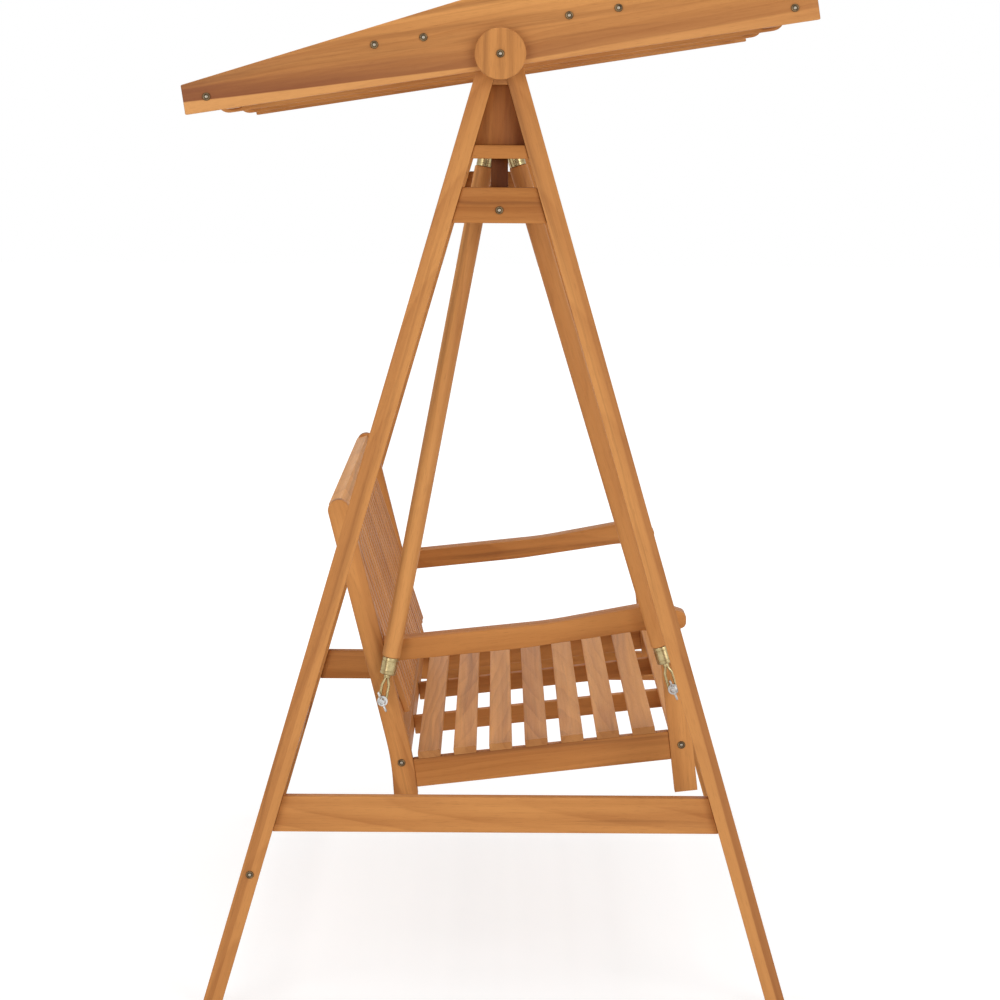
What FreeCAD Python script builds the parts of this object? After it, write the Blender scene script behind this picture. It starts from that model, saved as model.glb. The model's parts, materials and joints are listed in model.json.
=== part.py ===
import FreeCAD, Part
import math
import os

from FreeCAD import Placement, Rotation, Vector

# Swing bench: an A-frame stand, a tilting canopy frame and a slatted bench on four arms.
# X runs along the bench, the bench faces -Y, Z is up and the origin is on the floor.

doc = FreeCAD.newDocument("SwingBench")
sheet = doc.addObject("Spreadsheet::Sheet", "Sizes")

# Driving dimensions: alias, value, meaning. Lengths are millimetres, angles are degrees.
SIZES = [
    ("end_clearance", 142, "between the bench and the legs at each end"),
    ("pivot_height", 1950, "canopy pivot above the floor"),
    ("leg_face", 38, "leg width seen from the end"),
    ("leg_depth", 58, "leg thickness along the bench"),
    ("leg_angle", 16.2, "lean of each leg from upright"),
    ("leg_apex_offset", 18.4, "leg centre line from the middle at the pivot"),
    ("leg_top_rise", 40, "leg tops above the pivot"),
    ("rail_thickness", 28, "thickness of the A-frame boards"),
    ("apex_block_drop", 60, "underside of the apex block below the pivot"),
    ("apex_block_top_drop", 15, "top of the apex block below the pivot"),
    ("head_rail_drop", 206, "underside of the head rail below the pivot"),
    ("head_rail_height", 27, "height of the head rail"),
    ("head_rail_inset", 4, "head rail behind the leg faces"),
    ("upper_rail_drop", 334, "underside of the upper rail below the pivot"),
    ("upper_rail_height", 71, "height of the upper rail"),
    ("upper_rail_inset", 6, "upper rail behind the leg faces"),
    ("upper_bolt_rise", 26, "bolt above the underside of the upper rail"),
    ("king_post_width", 34, "width of the king post"),
    ("lower_rail_bottom", 370, "underside of the lower rail above the floor"),
    ("lower_rail_height", 74, "height of the lower rail"),
    ("stretcher_level", 283, "middle of the rear stretcher above the floor"),
    ("stretcher_height", 65, "height of the rear stretcher"),
    ("beam_width", 60, "main beam across"),
    ("beam_height", 68, "main beam height"),
    ("beam_over_hanger", 24, "main beam underside above the hanger pins"),
    ("tenon_length", 20, "beam tenon into the head plate"),
    ("tenon_width", 30, "beam tenon across"),
    ("tenon_height", 40, "beam tenon height"),
    ("canopy_tilt", 8.85, "canopy tilt at rest, front up"),
    ("canopy_half_length", 633, "pivot to the end of a gable"),
    ("gable_thickness", 28, "gable board thickness"),
    ("gable_below_pivot", 26.6, "straight lower edge below the pivot"),
    ("gable_end_height", 59, "gable height at its ends"),
    ("gable_ridge_rise", 124, "gable peak above the pivot"),
    ("edge_rail_inset", 47, "edge rail bolt behind the end of a gable"),
    ("edge_rail_rise", 2.7, "edge rail middle above the pivot"),
    ("edge_rail_width", 28, "edge rail across"),
    ("edge_rail_height", 44, "edge rail height"),
    ("ridge_board_reach", 194, "pivot to the ridge board middle, along the gable"),
    ("ridge_board_rise", 54, "ridge board middle above the pivot"),
    ("ridge_board_width", 136, "ridge board across"),
    ("ridge_board_height", 24, "ridge board thickness"),
    ("ridge_bolt_pitch", 98, "between the two bolts of a ridge board"),
    ("rafter_place", 275, "rafter middle from the middle of the canopy"),
    ("rafter_thickness", 28, "rafter thickness"),
    ("rafter_set_back", 10, "rafter end behind the gable end"),
    ("rafter_nose", 26, "rounding of the lower rafter ends"),
    ("rafter_flat", 266, "half length of the level top of a rafter"),
    ("disc_radius", 51, "wooden disc at the canopy pivot"),
    ("disc_thickness", 22, "wooden disc thickness"),
    ("disc_edge", 3, "rounding of the disc edge"),
    ("washer_thickness", 1.5, "steel washers"),
    ("pivot_washer_radius", 20, "washer between gable and legs"),
    ("pivot_bolt_radius", 5, "canopy pivot bolt"),
    ("running_fit", 0.05, "radial clearance of turning fits"),
    ("bolt_radius", 4, "bolt shanks"),
    ("bolt_head_radius", 8, "bolt heads"),
    ("bolt_head_height", 4, "bolt heads"),
    ("bolt_grip", 45, "bolt length past the outer board"),
    ("hanger_drop", 164, "hanger pins below the canopy pivot"),
    ("hanger_spread", 20, "hanger pins from the middle plane"),
    ("hanger_pin_radius", 4, "hanger pins"),
    ("hanger_pin_head_radius", 7, "hanger pin heads"),
    ("hanger_pin_head", 2.5, "thickness of the hanger pin heads"),
    ("bracket_plate", 3, "bracket base plate thickness"),
    ("bracket_cheek", 4, "bracket cheek thickness"),
    ("bracket_lip", 9, "bracket metal below the pins"),
    ("bracket_length", 40, "bracket base plate along the beam"),
    ("bracket_shoulder", 9, "bracket past the pins"),
    ("arm_radius", 19, "round hanger arms"),
    ("arm_shoulder", 4, "rounding of the arm ends"),
    ("ferrule_radius", 17, "brass ferrules"),
    ("ferrule_length", 37, "brass ferrules"),
    ("ferrule_wall", 1.5, "brass ferrule wall"),
    ("eye_radius", 16, "upper eye rings"),
    ("eye_thickness", 6, "eye rings and links"),
    ("eye_neck_radius", 2.6, "neck between eye and ferrule"),
    ("eye_reach", 24, "upper pin to the ferrule end"),
    ("link_reach", 58, "hang bolt to the lower ferrule end"),
    ("link_half_width", 10, "lower link, half its width"),
    ("link_slot_width", 8, "open slot in a lower link"),
    ("link_web", 8, "metal at both ends of the slot"),
    ("eye_side_play", 0.5, "eye ring to the bracket cheeks"),
    ("open_play", 1.2, "radial play of the front links at the bench"),
    ("bench_length", 1345, "over the outer faces of the bench posts"),
    ("post_thickness", 30, "bench post thickness"),
    ("post_width", 45, "rear post width"),
    ("post_foot_width", 51, "rear post width at its foot"),
    ("front_post_width", 48, "front post width"),
    ("spacer_length", 18.7, "spacers between bench posts and links"),
    ("rear_hang_share", 0.6358, "rear hang bolt, share of the way from side rail to armrest"),
    ("rear_hang_set_back", 7.7, "rear hang bolt behind the middle of its post"),
    ("front_hang_share", 0.7318, "front hang bolt, share of the way from side rail to armrest"),
    ("front_hang_set_back", 5.8, "front hang bolt behind the middle of its post"),
    ("seat_tilt", 6.7, "seat rake, front up"),
    ("back_angle", 14.2, "lean of the back from upright"),
    ("post_foot_angle", 6, "lean of the rear post below its bend"),
    ("rear_post_foot_back", 189, "rear post foot behind the middle"),
    ("rear_post_foot", 405, "rear post foot above the floor"),
    ("rear_post_knee", 75, "rear post bend above its foot"),
    ("rear_post_top", 1033, "rear post top above the floor"),
    ("post_bend_radius", 500, "rear post bend, front edge"),
    ("front_post_below", 71, "front post foot below the side rail underside"),
    ("seat_rail_height", 60, "side rail height"),
    ("seat_rail_rise", 15, "underside of the side rail above the rear post foot"),
    ("slat_width", 48, "seat slat width"),
    ("slat_thickness", 15, "seat slat thickness"),
    ("slat_count", 8, "seat slats, the front one on the front rail, between the posts"),
    ("first_slat_along", 57, "rear slat ahead of the rear post foot, along the seat"),
    ("cross_rail_thickness", 26, "front and rear seat rails"),
    ("rear_cross_height", 46, "rear seat rail height"),
    ("rear_cross_rise", 56, "rear seat rail middle above the side rail underside"),
    ("rear_cross_back", 3, "rear seat rail behind the rear post foot, along the seat"),
    ("front_cross_height", 62, "front seat rail height"),
    ("front_cross_along", 587, "front seat rail ahead of the rear post foot, along the seat"),
    ("side_rail_inset", 2, "side rails behind the post faces"),
    ("bearer_place", 200, "seat bearer from the middle of the bench"),
    ("bearer_height", 40, "seat bearer height"),
    ("armrest_width", 60, "armrest across"),
    ("armrest_rise_angle", 6.2, "rise of the rear end of the armrest"),
    ("armrest_height", 773, "top of the armrest above the floor, at its dip"),
    ("armrest_dip_ahead", 110, "dip ahead of the middle"),
    ("armrest_dip_radius", 900, "dip rounding"),
    ("armrest_crest_ahead", 335, "crest ahead of the middle"),
    ("armrest_crest_rise", 43, "crest above the dip"),
    ("armrest_crest_radius", 90, "crest rounding"),
    ("armrest_nose_ahead", 397, "armrest nose ahead of the middle"),
    ("armrest_nose_droop", 19, "upper nose corner below the crest"),
    ("armrest_nose_height", 31, "height of the nose"),
    ("armrest_nose_radius", 13, "nose rounding"),
    ("armrest_lip_ahead", 300, "underside corner behind the nose, ahead of the middle"),
    ("armrest_lip_drop", 6, "underside corner below the nose"),
    ("armrest_lip_radius", 250, "underside corner rounding"),
    ("armrest_hollow_ahead", 60, "underside bend ahead of the middle"),
    ("armrest_hollow_depth", 51, "underside bend below the dip"),
    ("armrest_hollow_radius", 900, "underside bend rounding"),
    ("back_rail_thickness", 28, "back rails"),
    ("top_back_rail_height", 62, "upper back rail"),
    ("low_back_rail_height", 32, "lower back rail"),
    ("top_back_rail_drop", 44, "upper back rail middle below the post top"),
    ("low_back_rail_rise", 174, "lower back rail middle above the rear post foot"),
    ("low_back_rail_forward", 8.5, "lower back rail ahead of the middle of the posts"),
    ("slat_lean_angle", 18.4, "lean of the back slats from upright"),
    ("back_slat_count", 21, "back slats"),
    ("back_slat_width", 36, "back slats"),
    ("back_slat_thickness", 12, "back slats"),
    ("hang_head_radius", 9, "carriage bolt heads"),
    ("hang_head_height", 4, "carriage bolt heads"),
    ("spacer_radius", 8, "spacers on the hang bolts"),
    ("hang_washer_radius", 11, "washers under the wing nuts"),
    ("wing_hub_radius", 6.5, "wing nut hub"),
    ("wing_hub_height", 9, "wing nut hub"),
    ("wing_span", 46, "wing nut over its wings"),
    ("wing_turn_angle", 68, "wings turned from level"),
    ("wing_height", 11, "wing nut wing along the bolt"),
    ("wing_thickness", 3, "wing nut wing"),
    ("side_play", 0.3, "between links and spacers or washers"),
    ("cut_overrun", 2, "cuts past a face"),
]

for row, (alias, value, meaning) in enumerate(SIZES, start=1):
    sheet.set(f"A{row}", alias)
    sheet.set(f"B{row}", str(value))
    sheet.set(f"C{row}", meaning)
    sheet.setAlias(f"B{row}", alias)
doc.recompute()


def size(alias):
    """Value of one driving dimension."""
    return float(sheet.get(alias))


def cell(alias):
    """Expression that reads one driving dimension."""
    return f"Sizes.{alias}"


nodes = {}


def keep(label, item):
    """Name a finished piece, which becomes its own file."""
    item.Label = label
    nodes[label] = item
    return item


def plane_of(body, role):
    return next(item for item in body.Origin.OriginFeatures if item.Role == role)


def sketch_on(body, role, geometry):
    """Sketch of the given lines and arcs on one origin plane of a body."""
    sketch = body.newObject("Sketcher::SketchObject", body.Name + "_outline")
    sketch.AttachmentSupport = [(plane_of(body, role), "")]
    sketch.MapMode = "FlatFace"
    sketch.addGeometry(geometry, False)
    return sketch


def flat(point):
    return Vector(point[0], point[1], 0)


def outline(points):
    """Closed outline through (across, up, corner radius) points, with rounded corners."""
    corners = []
    count = len(points)
    for index, (across, up, radius) in enumerate(points):
        here = Vector(across, up, 0)
        if radius == 0:
            corners.append((here, None, here))
            continue
        before = (flat(points[index - 1]) - here).normalize()
        after = (flat(points[(index + 1) % count]) - here).normalize()
        half = before.getAngle(after) / 2
        reach = radius / math.tan(half)
        middle = (before + after).normalize()
        centre = here + middle * (radius / math.sin(half))
        corners.append((here + before * reach, centre - middle * radius, here + after * reach))
    geometry = []
    for index, (start, top, end) in enumerate(corners):
        if top is not None:
            geometry.append(Part.Arc(start, top, end))
        geometry.append(Part.LineSegment(end, corners[(index + 1) % count][0]))
    return geometry


def board(name, geometry, thickness, start):
    """Board with an end outline in Y and Z, running along X from start for its thickness."""
    body = doc.addObject("PartDesign::Body", name)
    sketch = sketch_on(body, "YZ_Plane", geometry)
    pad = body.newObject("PartDesign::Pad", name + "_pad")
    pad.Profile = sketch
    pad.setExpression("Length", thickness)
    body.setExpression("Placement.Base.x", start)
    return body


def pair(label, geometry, thickness, outer_face):
    """Left and right copies of a board whose outer faces lie outer_face from the middle."""
    left = board("left_" + label, geometry, thickness, f"-({outer_face})")
    right = board("right_" + label, geometry, thickness, f"({outer_face}) - ({thickness})")
    return left, right


def both(label, geometry, thickness, outer_face):
    """Left and right boards, each kept as a node of its own."""
    for side, item in zip(("left_", "right_"), pair(label, geometry, thickness, outer_face)):
        keep(side + label, item)


def group(label, items):
    """One node that holds several separate solids."""
    compound = doc.addObject("Part::Compound", label)
    compound.Links = items
    return keep(label, compound)


def rod(name, radius, length, base, direction=Vector(1, 0, 0)):
    """Round rod from base along direction."""
    item = doc.addObject("Part::Cylinder", name)
    item.setExpression("Radius", radius)
    item.setExpression("Height", length)
    item.Placement = Placement(base, Rotation(Vector(0, 0, 1), direction))
    return item


def fused(name, items):
    item = doc.addObject("Part::MultiFuse", name)
    item.Shapes = items
    item.Refine = True
    return item


def cut(name, base, tools):
    """Base less every tool."""
    tool = tools[0]
    if len(tools) > 1:
        tool = doc.addObject("Part::Compound", name + "_tools")
        tool.Links = tools
    item = doc.addObject("Part::Cut", name)
    item.Base = base
    item.Tool = tool
    return item


def softened(name, base, radius, chosen):
    """Base with the edges that chosen accepts rounded."""
    doc.recompute()
    item = doc.addObject("Part::Fillet", name)
    item.Base = base
    edges = enumerate(base.Shape.Edges, start=1)
    item.Edges = [(index, size(radius), size(radius)) for index, edge in edges if chosen(edge)]
    return item


Precise = 1e-6
pivot = size("pivot_height")
slope = math.tan(math.radians(size("leg_angle")))
half_leg = size("leg_face") / 2 / math.cos(math.radians(size("leg_angle")))
stand_half = f"({cell('bench_length')} / 2 + {cell('end_clearance')} + {cell('leg_depth')})"
stand_face = size("bench_length") / 2 + size("end_clearance") + size("leg_depth")


def leg_inner(level):
    """Inner leg edge from the middle plane, at a height."""
    return (pivot - level) * slope + size("leg_apex_offset") - half_leg


def leg_outer(level):
    return (pivot - level) * slope + size("leg_apex_offset") + half_leg


def between_legs(bottom, top):
    """Outline of a board that fills the space between the legs of an A-frame."""
    return outline([(-leg_inner(bottom), bottom, 0), (leg_inner(bottom), bottom, 0),
                    (leg_inner(top), top, 0), (-leg_inner(top), top, 0)])


def rectangle(middle, width, height, turn=0):
    """Rectangle about a (Y, Z) middle, turned by an angle in degrees."""
    angle = math.radians(turn)
    points = []
    for across, up in ((-1, -1), (1, -1), (1, 1), (-1, 1)):
        side = across * width / 2
        rise = up * height / 2
        points.append((middle[0] + side * math.cos(angle) - rise * math.sin(angle),
                       middle[1] + side * math.sin(angle) + rise * math.cos(angle), 0))
    return outline(points)


def sides():
    """Each end of the part: its name, and the direction that points outwards."""
    return (("left", -1), ("right", 1))


# Stand: legs with the pivot hole where their mitred tops meet.
leg_top = pivot + size("leg_top_rise")
mitre_foot = pivot + (size("leg_apex_offset") - half_leg) / slope


def leg_outline(way):
    """Leg on one side of the middle plane; way is 1 for the rear and -1 for the front."""
    return outline([(way * leg_inner(0), 0, 0), (way * leg_outer(0), 0, 0),
                    (way * leg_outer(leg_top), leg_top, 0), (0, leg_top, 0),
                    (0, mitre_foot, 0)][::way])


bolt_hole = f"{cell('bolt_radius')} + {cell('running_fit')}"
stretcher_back = (leg_inner(size("stretcher_level")) + leg_outer(size("stretcher_level"))) / 2
pivot_hole_length = f"{cell('leg_depth')} + 2 * {cell('cut_overrun')}"
for side, out in sides():
    hole_start = -stand_face - size("cut_overrun")
    if out > 0:
        hole_start = stand_face - size("leg_depth") - size("cut_overrun")
    for place, way in (("rear", 1), ("front", -1)):
        name = f"{side}_{place}_leg"
        start = f"-{stand_half}" if out < 0 else f"{stand_half} - {cell('leg_depth')}"
        bar = board(name + "_bar", leg_outline(way), cell("leg_depth"), start)
        holes = [rod(name + "_pivot_hole", f"{cell('pivot_bolt_radius')} + {cell('running_fit')}",
                     pivot_hole_length, Vector(hole_start, 0, pivot))]
        if way > 0:
            holes.append(rod(name + "_stretcher_hole", bolt_hole, pivot_hole_length,
                             Vector(hole_start, stretcher_back, size("stretcher_level"))))
        keep(name, cut(name, bar, holes))

apex_low = pivot - size("apex_block_drop")
group("apex_blocks", pair("apex_block", between_legs(apex_low, pivot - size("apex_block_top_drop")),
                          cell("leg_depth"), stand_half))

head_rail_low = pivot - size("head_rail_drop")
head_rail_top = head_rail_low + size("head_rail_height")
upper_rail_low = pivot - size("upper_rail_drop")
upper_rail_top = upper_rail_low + size("upper_rail_height")
upper_rail_face = f"{stand_half} - {cell('upper_rail_inset')}"
king_post_face = f"{upper_rail_face} - {cell('rail_thickness')}"
king_post_back = f"{king_post_face} - {cell('rail_thickness')}"
head_rail_face = f"{stand_half} - {cell('head_rail_inset')}"
head_rail_depth = f"{cell('rail_thickness')} * 2 + {cell('upper_rail_inset')} - {cell('head_rail_inset')}"
group("head_rails", pair("head_rail", between_legs(head_rail_low, head_rail_top),
                         head_rail_depth, head_rail_face))

plate_face = f"{stand_half} - {cell('leg_depth')} + {cell('rail_thickness')}"
hanger_level = pivot - size("hanger_drop")
beam_low = hanger_level + size("beam_over_hanger")
beam_middle = beam_low + size("beam_height") / 2
tenon = rectangle((0, beam_middle), size("tenon_width"), size("tenon_height"))
plates = []
for plate, (side, out) in zip(pair("head_plate_blank", between_legs(head_rail_top, apex_low),
                                   cell("rail_thickness"), plate_face), sides()):
    inner = f"({stand_half} - {cell('leg_depth')} - {cell('cut_overrun')})"
    deep = f"({cell('tenon_length')} + {cell('cut_overrun')})"
    start = inner if out > 0 else f"-{inner} - {deep}"
    socket = board(side + "_tenon_socket", tenon, deep, start)
    plates.append(cut(side + "_head_plate", plate, [socket]))
group("head_plates", plates)

upper_bolt_level = upper_rail_low + size("upper_bolt_rise")
upper_bolt_length = f"2 * {cell('rail_thickness')}"
rails = pair("upper_rail_blank", between_legs(upper_rail_low, upper_rail_top),
             cell("rail_thickness"), upper_rail_face)
posts = pair("king_post_blank", rectangle((0, (upper_rail_low + head_rail_low) / 2),
                                          size("king_post_width"), head_rail_low - upper_rail_low),
             cell("rail_thickness"), king_post_face)
rail_face = stand_face - size("upper_rail_inset")
bored_posts = []
for rail, post, (side, out) in zip(rails, posts, sides()):
    head = Vector(out * rail_face, 0, upper_bolt_level)
    hole = rod(side + "_upper_hole", bolt_hole, upper_bolt_length, head, Vector(-out, 0, 0))
    keep(side + "_upper_rail", cut(side + "_upper_rail", rail, [hole]))
    bored_posts.append(cut(side + "_king_post", post, [hole]))
group("king_posts", bored_posts)

lower_low = size("lower_rail_bottom")
both("lower_rail", between_legs(lower_low, lower_low + size("lower_rail_height")), cell("rail_thickness"),
     f"{stand_half} - ({cell('leg_depth')} - {cell('rail_thickness')}) / 2")

clear_length = f"2 * ({stand_half} - {cell('leg_depth')})"
clear_start = f"{cell('leg_depth')} - {stand_half}"
beam_core = board("beam_core", rectangle((0, beam_middle), size("beam_width"), size("beam_height")),
                  clear_length, clear_start)
beam_tenons = board("beam_tenons", tenon, f"{clear_length} + 2 * {cell('tenon_length')}",
                    f"{clear_start} - {cell('tenon_length')}")
keep("main_beam", fused("main_beam", [beam_core, beam_tenons]))

stretcher_blank = board("stretcher_blank",
                        rectangle((stretcher_back, size("stretcher_level")), size("rail_thickness"),
                                  size("stretcher_height"), size("leg_angle")), clear_length, clear_start)


def bolt(name, face, out, place, grip):
    """Bolt whose round head sits on a face that points outwards along X."""
    base = Vector(face, place[0], place[1])
    shank = rod(name + "_shank", cell("bolt_radius"), grip, base, Vector(-out, 0, 0))
    head = rod(name + "_head", cell("bolt_head_radius"), cell("bolt_head_height"), base, Vector(out, 0, 0))
    return fused(name, [shank, head])


stand_bolts = []
stretcher_holes = []
for side, out in sides():
    stretcher_grip = f"{cell('leg_depth')} + {cell('bolt_grip')}"
    place = (stretcher_back, size("stretcher_level"))
    stand_bolts.append(bolt(side + "_stretcher_bolt", out * stand_face, out, place, stretcher_grip))
    stretcher_holes.append(rod(side + "_stretcher_end_hole", bolt_hole, stretcher_grip,
                               Vector(out * stand_face, *place), Vector(-out, 0, 0)))
    stand_bolts.append(bolt(side + "_upper_bolt", out * rail_face, out, (0, upper_bolt_level),
                            upper_bolt_length))
keep("rear_stretcher", cut("rear_stretcher", stretcher_blank, stretcher_holes))
group("stand_bolts", stand_bolts)

# Canopy frame, modelled at its tilt: two gables, two rafters, two edge rails, two ridge boards.
tilt = math.radians(size("canopy_tilt"))


def on_canopy(ahead, rise):
    """Y and Z of a point given along the gable towards the front, and square to it."""
    return (-ahead * math.cos(tilt) + rise * math.sin(tilt),
            pivot + ahead * math.sin(tilt) + rise * math.cos(tilt))


def canopy_outline(points):
    return outline([(*on_canopy(ahead, rise), radius) for ahead, rise, radius in points])


def canopy_bar(ahead, rise, width, height):
    """Section of a lengthwise canopy board."""
    return rectangle(on_canopy(ahead, rise), width, height, -size("canopy_tilt"))


reach = size("canopy_half_length")
gable_low = -size("gable_below_pivot")
gable_end = gable_low + size("gable_end_height")
gable_outline = canopy_outline([(reach, gable_low, 0), (reach, gable_end, 0), (0, size("gable_ridge_rise"), 0),
                                (-reach, gable_end, 0), (-reach, gable_low, 0)])
gable_inner = f"{stand_half} + {cell('washer_thickness')}"
gable_face = f"{gable_inner} + {cell('gable_thickness')}"
gable_face_x = stand_face + size("washer_thickness") + size("gable_thickness")
disc_face_x = gable_face_x + size("disc_thickness")

edge_reach = reach - size("edge_rail_inset")
canopy_bars = {}
for place, way in (("front", 1), ("rear", -1)):
    canopy_bars[place + "_canopy_rail"] = board(
        place + "_canopy_rail_blank",
        canopy_bar(way * edge_reach, size("edge_rail_rise"),
                   size("edge_rail_width"), size("edge_rail_height")),
        f"2 * ({gable_inner})", f"-({gable_inner})")
    canopy_bars[place + "_ridge_board"] = board(
        place + "_ridge_board_blank",
        canopy_bar(way * size("ridge_board_reach"), size("ridge_board_rise"),
                   size("ridge_board_width"), size("ridge_board_height")),
        f"2 * ({gable_inner})", f"-({gable_inner})")

canopy_bolt_places = []
for way in (1, -1):
    canopy_bolt_places.append(on_canopy(way * edge_reach, size("edge_rail_rise")))
    for step in (-1, 1):
        ahead = way * size("ridge_board_reach") + step * size("ridge_bolt_pitch") / 2
        canopy_bolt_places.append(on_canopy(ahead, size("ridge_board_rise")))

canopy_grip = f"{cell('gable_thickness')} + {cell('bolt_grip')}"
canopy_bolts = []
canopy_holes = []
pivot_bore = f"{cell('pivot_bolt_radius')} + {cell('running_fit')}"
for gable, (side, out) in zip(pair("gable_blank", gable_outline, cell("gable_thickness"), gable_face), sides()):
    holes = []
    for index, place in enumerate(canopy_bolt_places):
        name = f"{side}_canopy_bolt_{index}"
        canopy_bolts.append(bolt(name, out * gable_face_x, out, place, canopy_grip))
        holes.append(rod(name + "_hole", bolt_hole, canopy_grip,
                         Vector(out * gable_face_x, *place), Vector(-out, 0, 0)))
    canopy_holes.extend(holes)
    through = f"{cell('gable_thickness')} + {cell('disc_thickness')} + 2 * {cell('cut_overrun')}"
    bore = rod(side + "_gable_bore", pivot_bore, through,
               Vector(out * (disc_face_x + size("cut_overrun")), 0, pivot), Vector(-out, 0, 0))
    keep(side + "_gable", cut(side + "_gable", gable, holes + [bore]))
    blank = rod(side + "_disc_blank", cell("disc_radius"), cell("disc_thickness"),
                Vector(out * gable_face_x, 0, pivot), Vector(out, 0, 0))
    rim = softened(side + "_disc_rim", blank, "disc_edge",
                   lambda edge, face=out * disc_face_x: abs(edge.CenterOfMass.x - face) < Precise)
    keep(side + "_canopy_disc", cut(side + "_canopy_disc", rim, [bore]))
group("canopy_bolts", canopy_bolts)
for label, blank in canopy_bars.items():
    keep(label, cut(label, blank, canopy_holes))

rafter_reach = reach - size("rafter_set_back")
rafter_top = size("ridge_board_rise") + size("ridge_board_height") / 2
rafter_end = size("edge_rail_rise") + size("edge_rail_height") / 2
rafter_outline = canopy_outline([
    (rafter_reach, gable_low, size("rafter_nose")), (rafter_reach, rafter_end, 0),
    (size("rafter_flat"), rafter_top, 0), (-size("rafter_flat"), rafter_top, 0),
    (-rafter_reach, rafter_end, 0), (-rafter_reach, gable_low, size("rafter_nose"))])
for rafter, (side, out) in zip(pair("rafter_blank", rafter_outline, cell("rafter_thickness"),
                                    f"{cell('rafter_place')} + {cell('rafter_thickness')} / 2"), sides()):
    keep(side + "_rafter", cut(side + "_rafter", rafter, list(canopy_bars.values())))

# Canopy pivot bolts, with a washer between gable and legs and a nut inside the A-frame.
pivot_bolts = []
for side, out in sides():
    face = Vector(out * disc_face_x, 0, pivot)
    length = f"{cell('disc_thickness')} + {cell('gable_thickness')} + {cell('washer_thickness')}" \
             f" + {cell('leg_depth')} + {cell('bolt_head_height')}"
    shank = rod(side + "_pivot_shank", cell("pivot_bolt_radius"), length, face, Vector(-out, 0, 0))
    head = rod(side + "_pivot_head", cell("bolt_head_radius"), cell("bolt_head_height"), face, Vector(out, 0, 0))
    nut = rod(side + "_pivot_nut", f"{cell('bolt_head_radius')} + {cell('bolt_head_height')} / 2",
              cell("bolt_head_height"), Vector(out * (stand_face - size("leg_depth")), 0, pivot), Vector(-out, 0, 0))
    washer = rod(side + "_pivot_washer", cell("pivot_washer_radius"), cell("washer_thickness"),
                 Vector(out * stand_face, 0, pivot), Vector(out, 0, 0))
    pivot_bolts.append(fused(side + "_pivot_bolt", [shank, head, nut, washer]))
group("pivot_bolts", pivot_bolts)

# Bench side frames. The rear post leans with the back and bends upright below the seat.
bench_half = cell("bench_length") + " / 2"
bench_face = size("bench_length") / 2
lean = math.radians(size("back_angle"))
rake = math.radians(size("seat_tilt"))
half_post = size("post_width") / 2
half_across = half_post / math.cos(lean)
knee_level = size("rear_post_foot") + size("rear_post_knee")
knee_back = size("rear_post_foot_back") \
    + size("rear_post_knee") * math.tan(math.radians(size("post_foot_angle")))


def post_back(level):
    """Middle line of the leaning part of a rear post."""
    return knee_back + (level - knee_level) * math.tan(lean)


def rear_post_outline():
    """Rear post: upright foot, bend on both edges, leaning shaft and round top."""
    foot = size("rear_post_foot")
    foot_back = size("rear_post_foot_back")
    half_foot = size("post_foot_width") / 2
    bend = size("post_bend_radius")
    crown_level = size("rear_post_top") - half_post
    crown = Vector(post_back(crown_level), crown_level, 0)
    rear = crown + Vector(math.cos(lean), -math.sin(lean), 0) * half_post
    front = crown * 2 - rear
    top = crown + Vector(math.sin(lean), math.cos(lean), 0) * half_post
    shape = outline([(front.x, front.y, 0), (knee_back - half_across, knee_level, bend),
                     (foot_back - half_foot, foot, 0), (foot_back + half_foot, foot, 0),
                     (knee_back + half_across, knee_level, bend), (rear.x, rear.y, 0)])
    return shape[:-1] + [Part.Arc(rear, top, front)]


seat_foot = size("rear_post_foot") + size("seat_rail_rise")


def on_seat(along, rise):
    """Y and Z of a point along the seat towards the front, and square to it."""
    return (size("rear_post_foot_back") - along * math.cos(rake) + rise * math.sin(rake),
            seat_foot + along * math.sin(rake) + rise * math.cos(rake))


def seat_bar(along, rise, width, height):
    return rectangle(on_seat(along, rise), width, height, -size("seat_tilt"))


dip_height = size("armrest_height")
crest_height = dip_height + size("armrest_crest_rise")
nose_top = crest_height - size("armrest_nose_droop")
nose_low = nose_top - size("armrest_nose_height")
lip_height = nose_low - size("armrest_lip_drop")
hollow_height = dip_height - size("armrest_hollow_depth")


def armrest_outline():
    """Armrest: a slight dip, a crest, a round drooping nose and a hollow underside."""
    fall = math.tan(math.radians(size("armrest_rise_angle")))

    def heel(ahead, height):
        """Point on the rear post's front edge, on the sloping line through a corner."""
        edge = knee_back - half_across - knee_level * math.tan(lean)
        level = (height - (edge + ahead) * fall) / (1 + math.tan(lean) * fall)
        return (post_back(level) - half_across, level, 0)

    return outline([
        heel(size("armrest_dip_ahead"), dip_height),
        (-size("armrest_dip_ahead"), dip_height, size("armrest_dip_radius")),
        (-size("armrest_crest_ahead"), crest_height, size("armrest_crest_radius")),
        (-size("armrest_nose_ahead"), nose_top, size("armrest_nose_radius")),
        (-size("armrest_nose_ahead"), nose_low, size("armrest_nose_radius")),
        (-size("armrest_lip_ahead"), lip_height, size("armrest_lip_radius")),
        (-size("armrest_hollow_ahead"), hollow_height, size("armrest_hollow_radius")),
        heel(size("armrest_hollow_ahead"), hollow_height)])


front_foot = on_seat(size("front_cross_along"), -size("front_post_below"))


def front_post_back(level):
    """Middle line of a front post, square to the seat."""
    return front_foot[0] + (level - front_foot[1]) * math.tan(rake)


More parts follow.
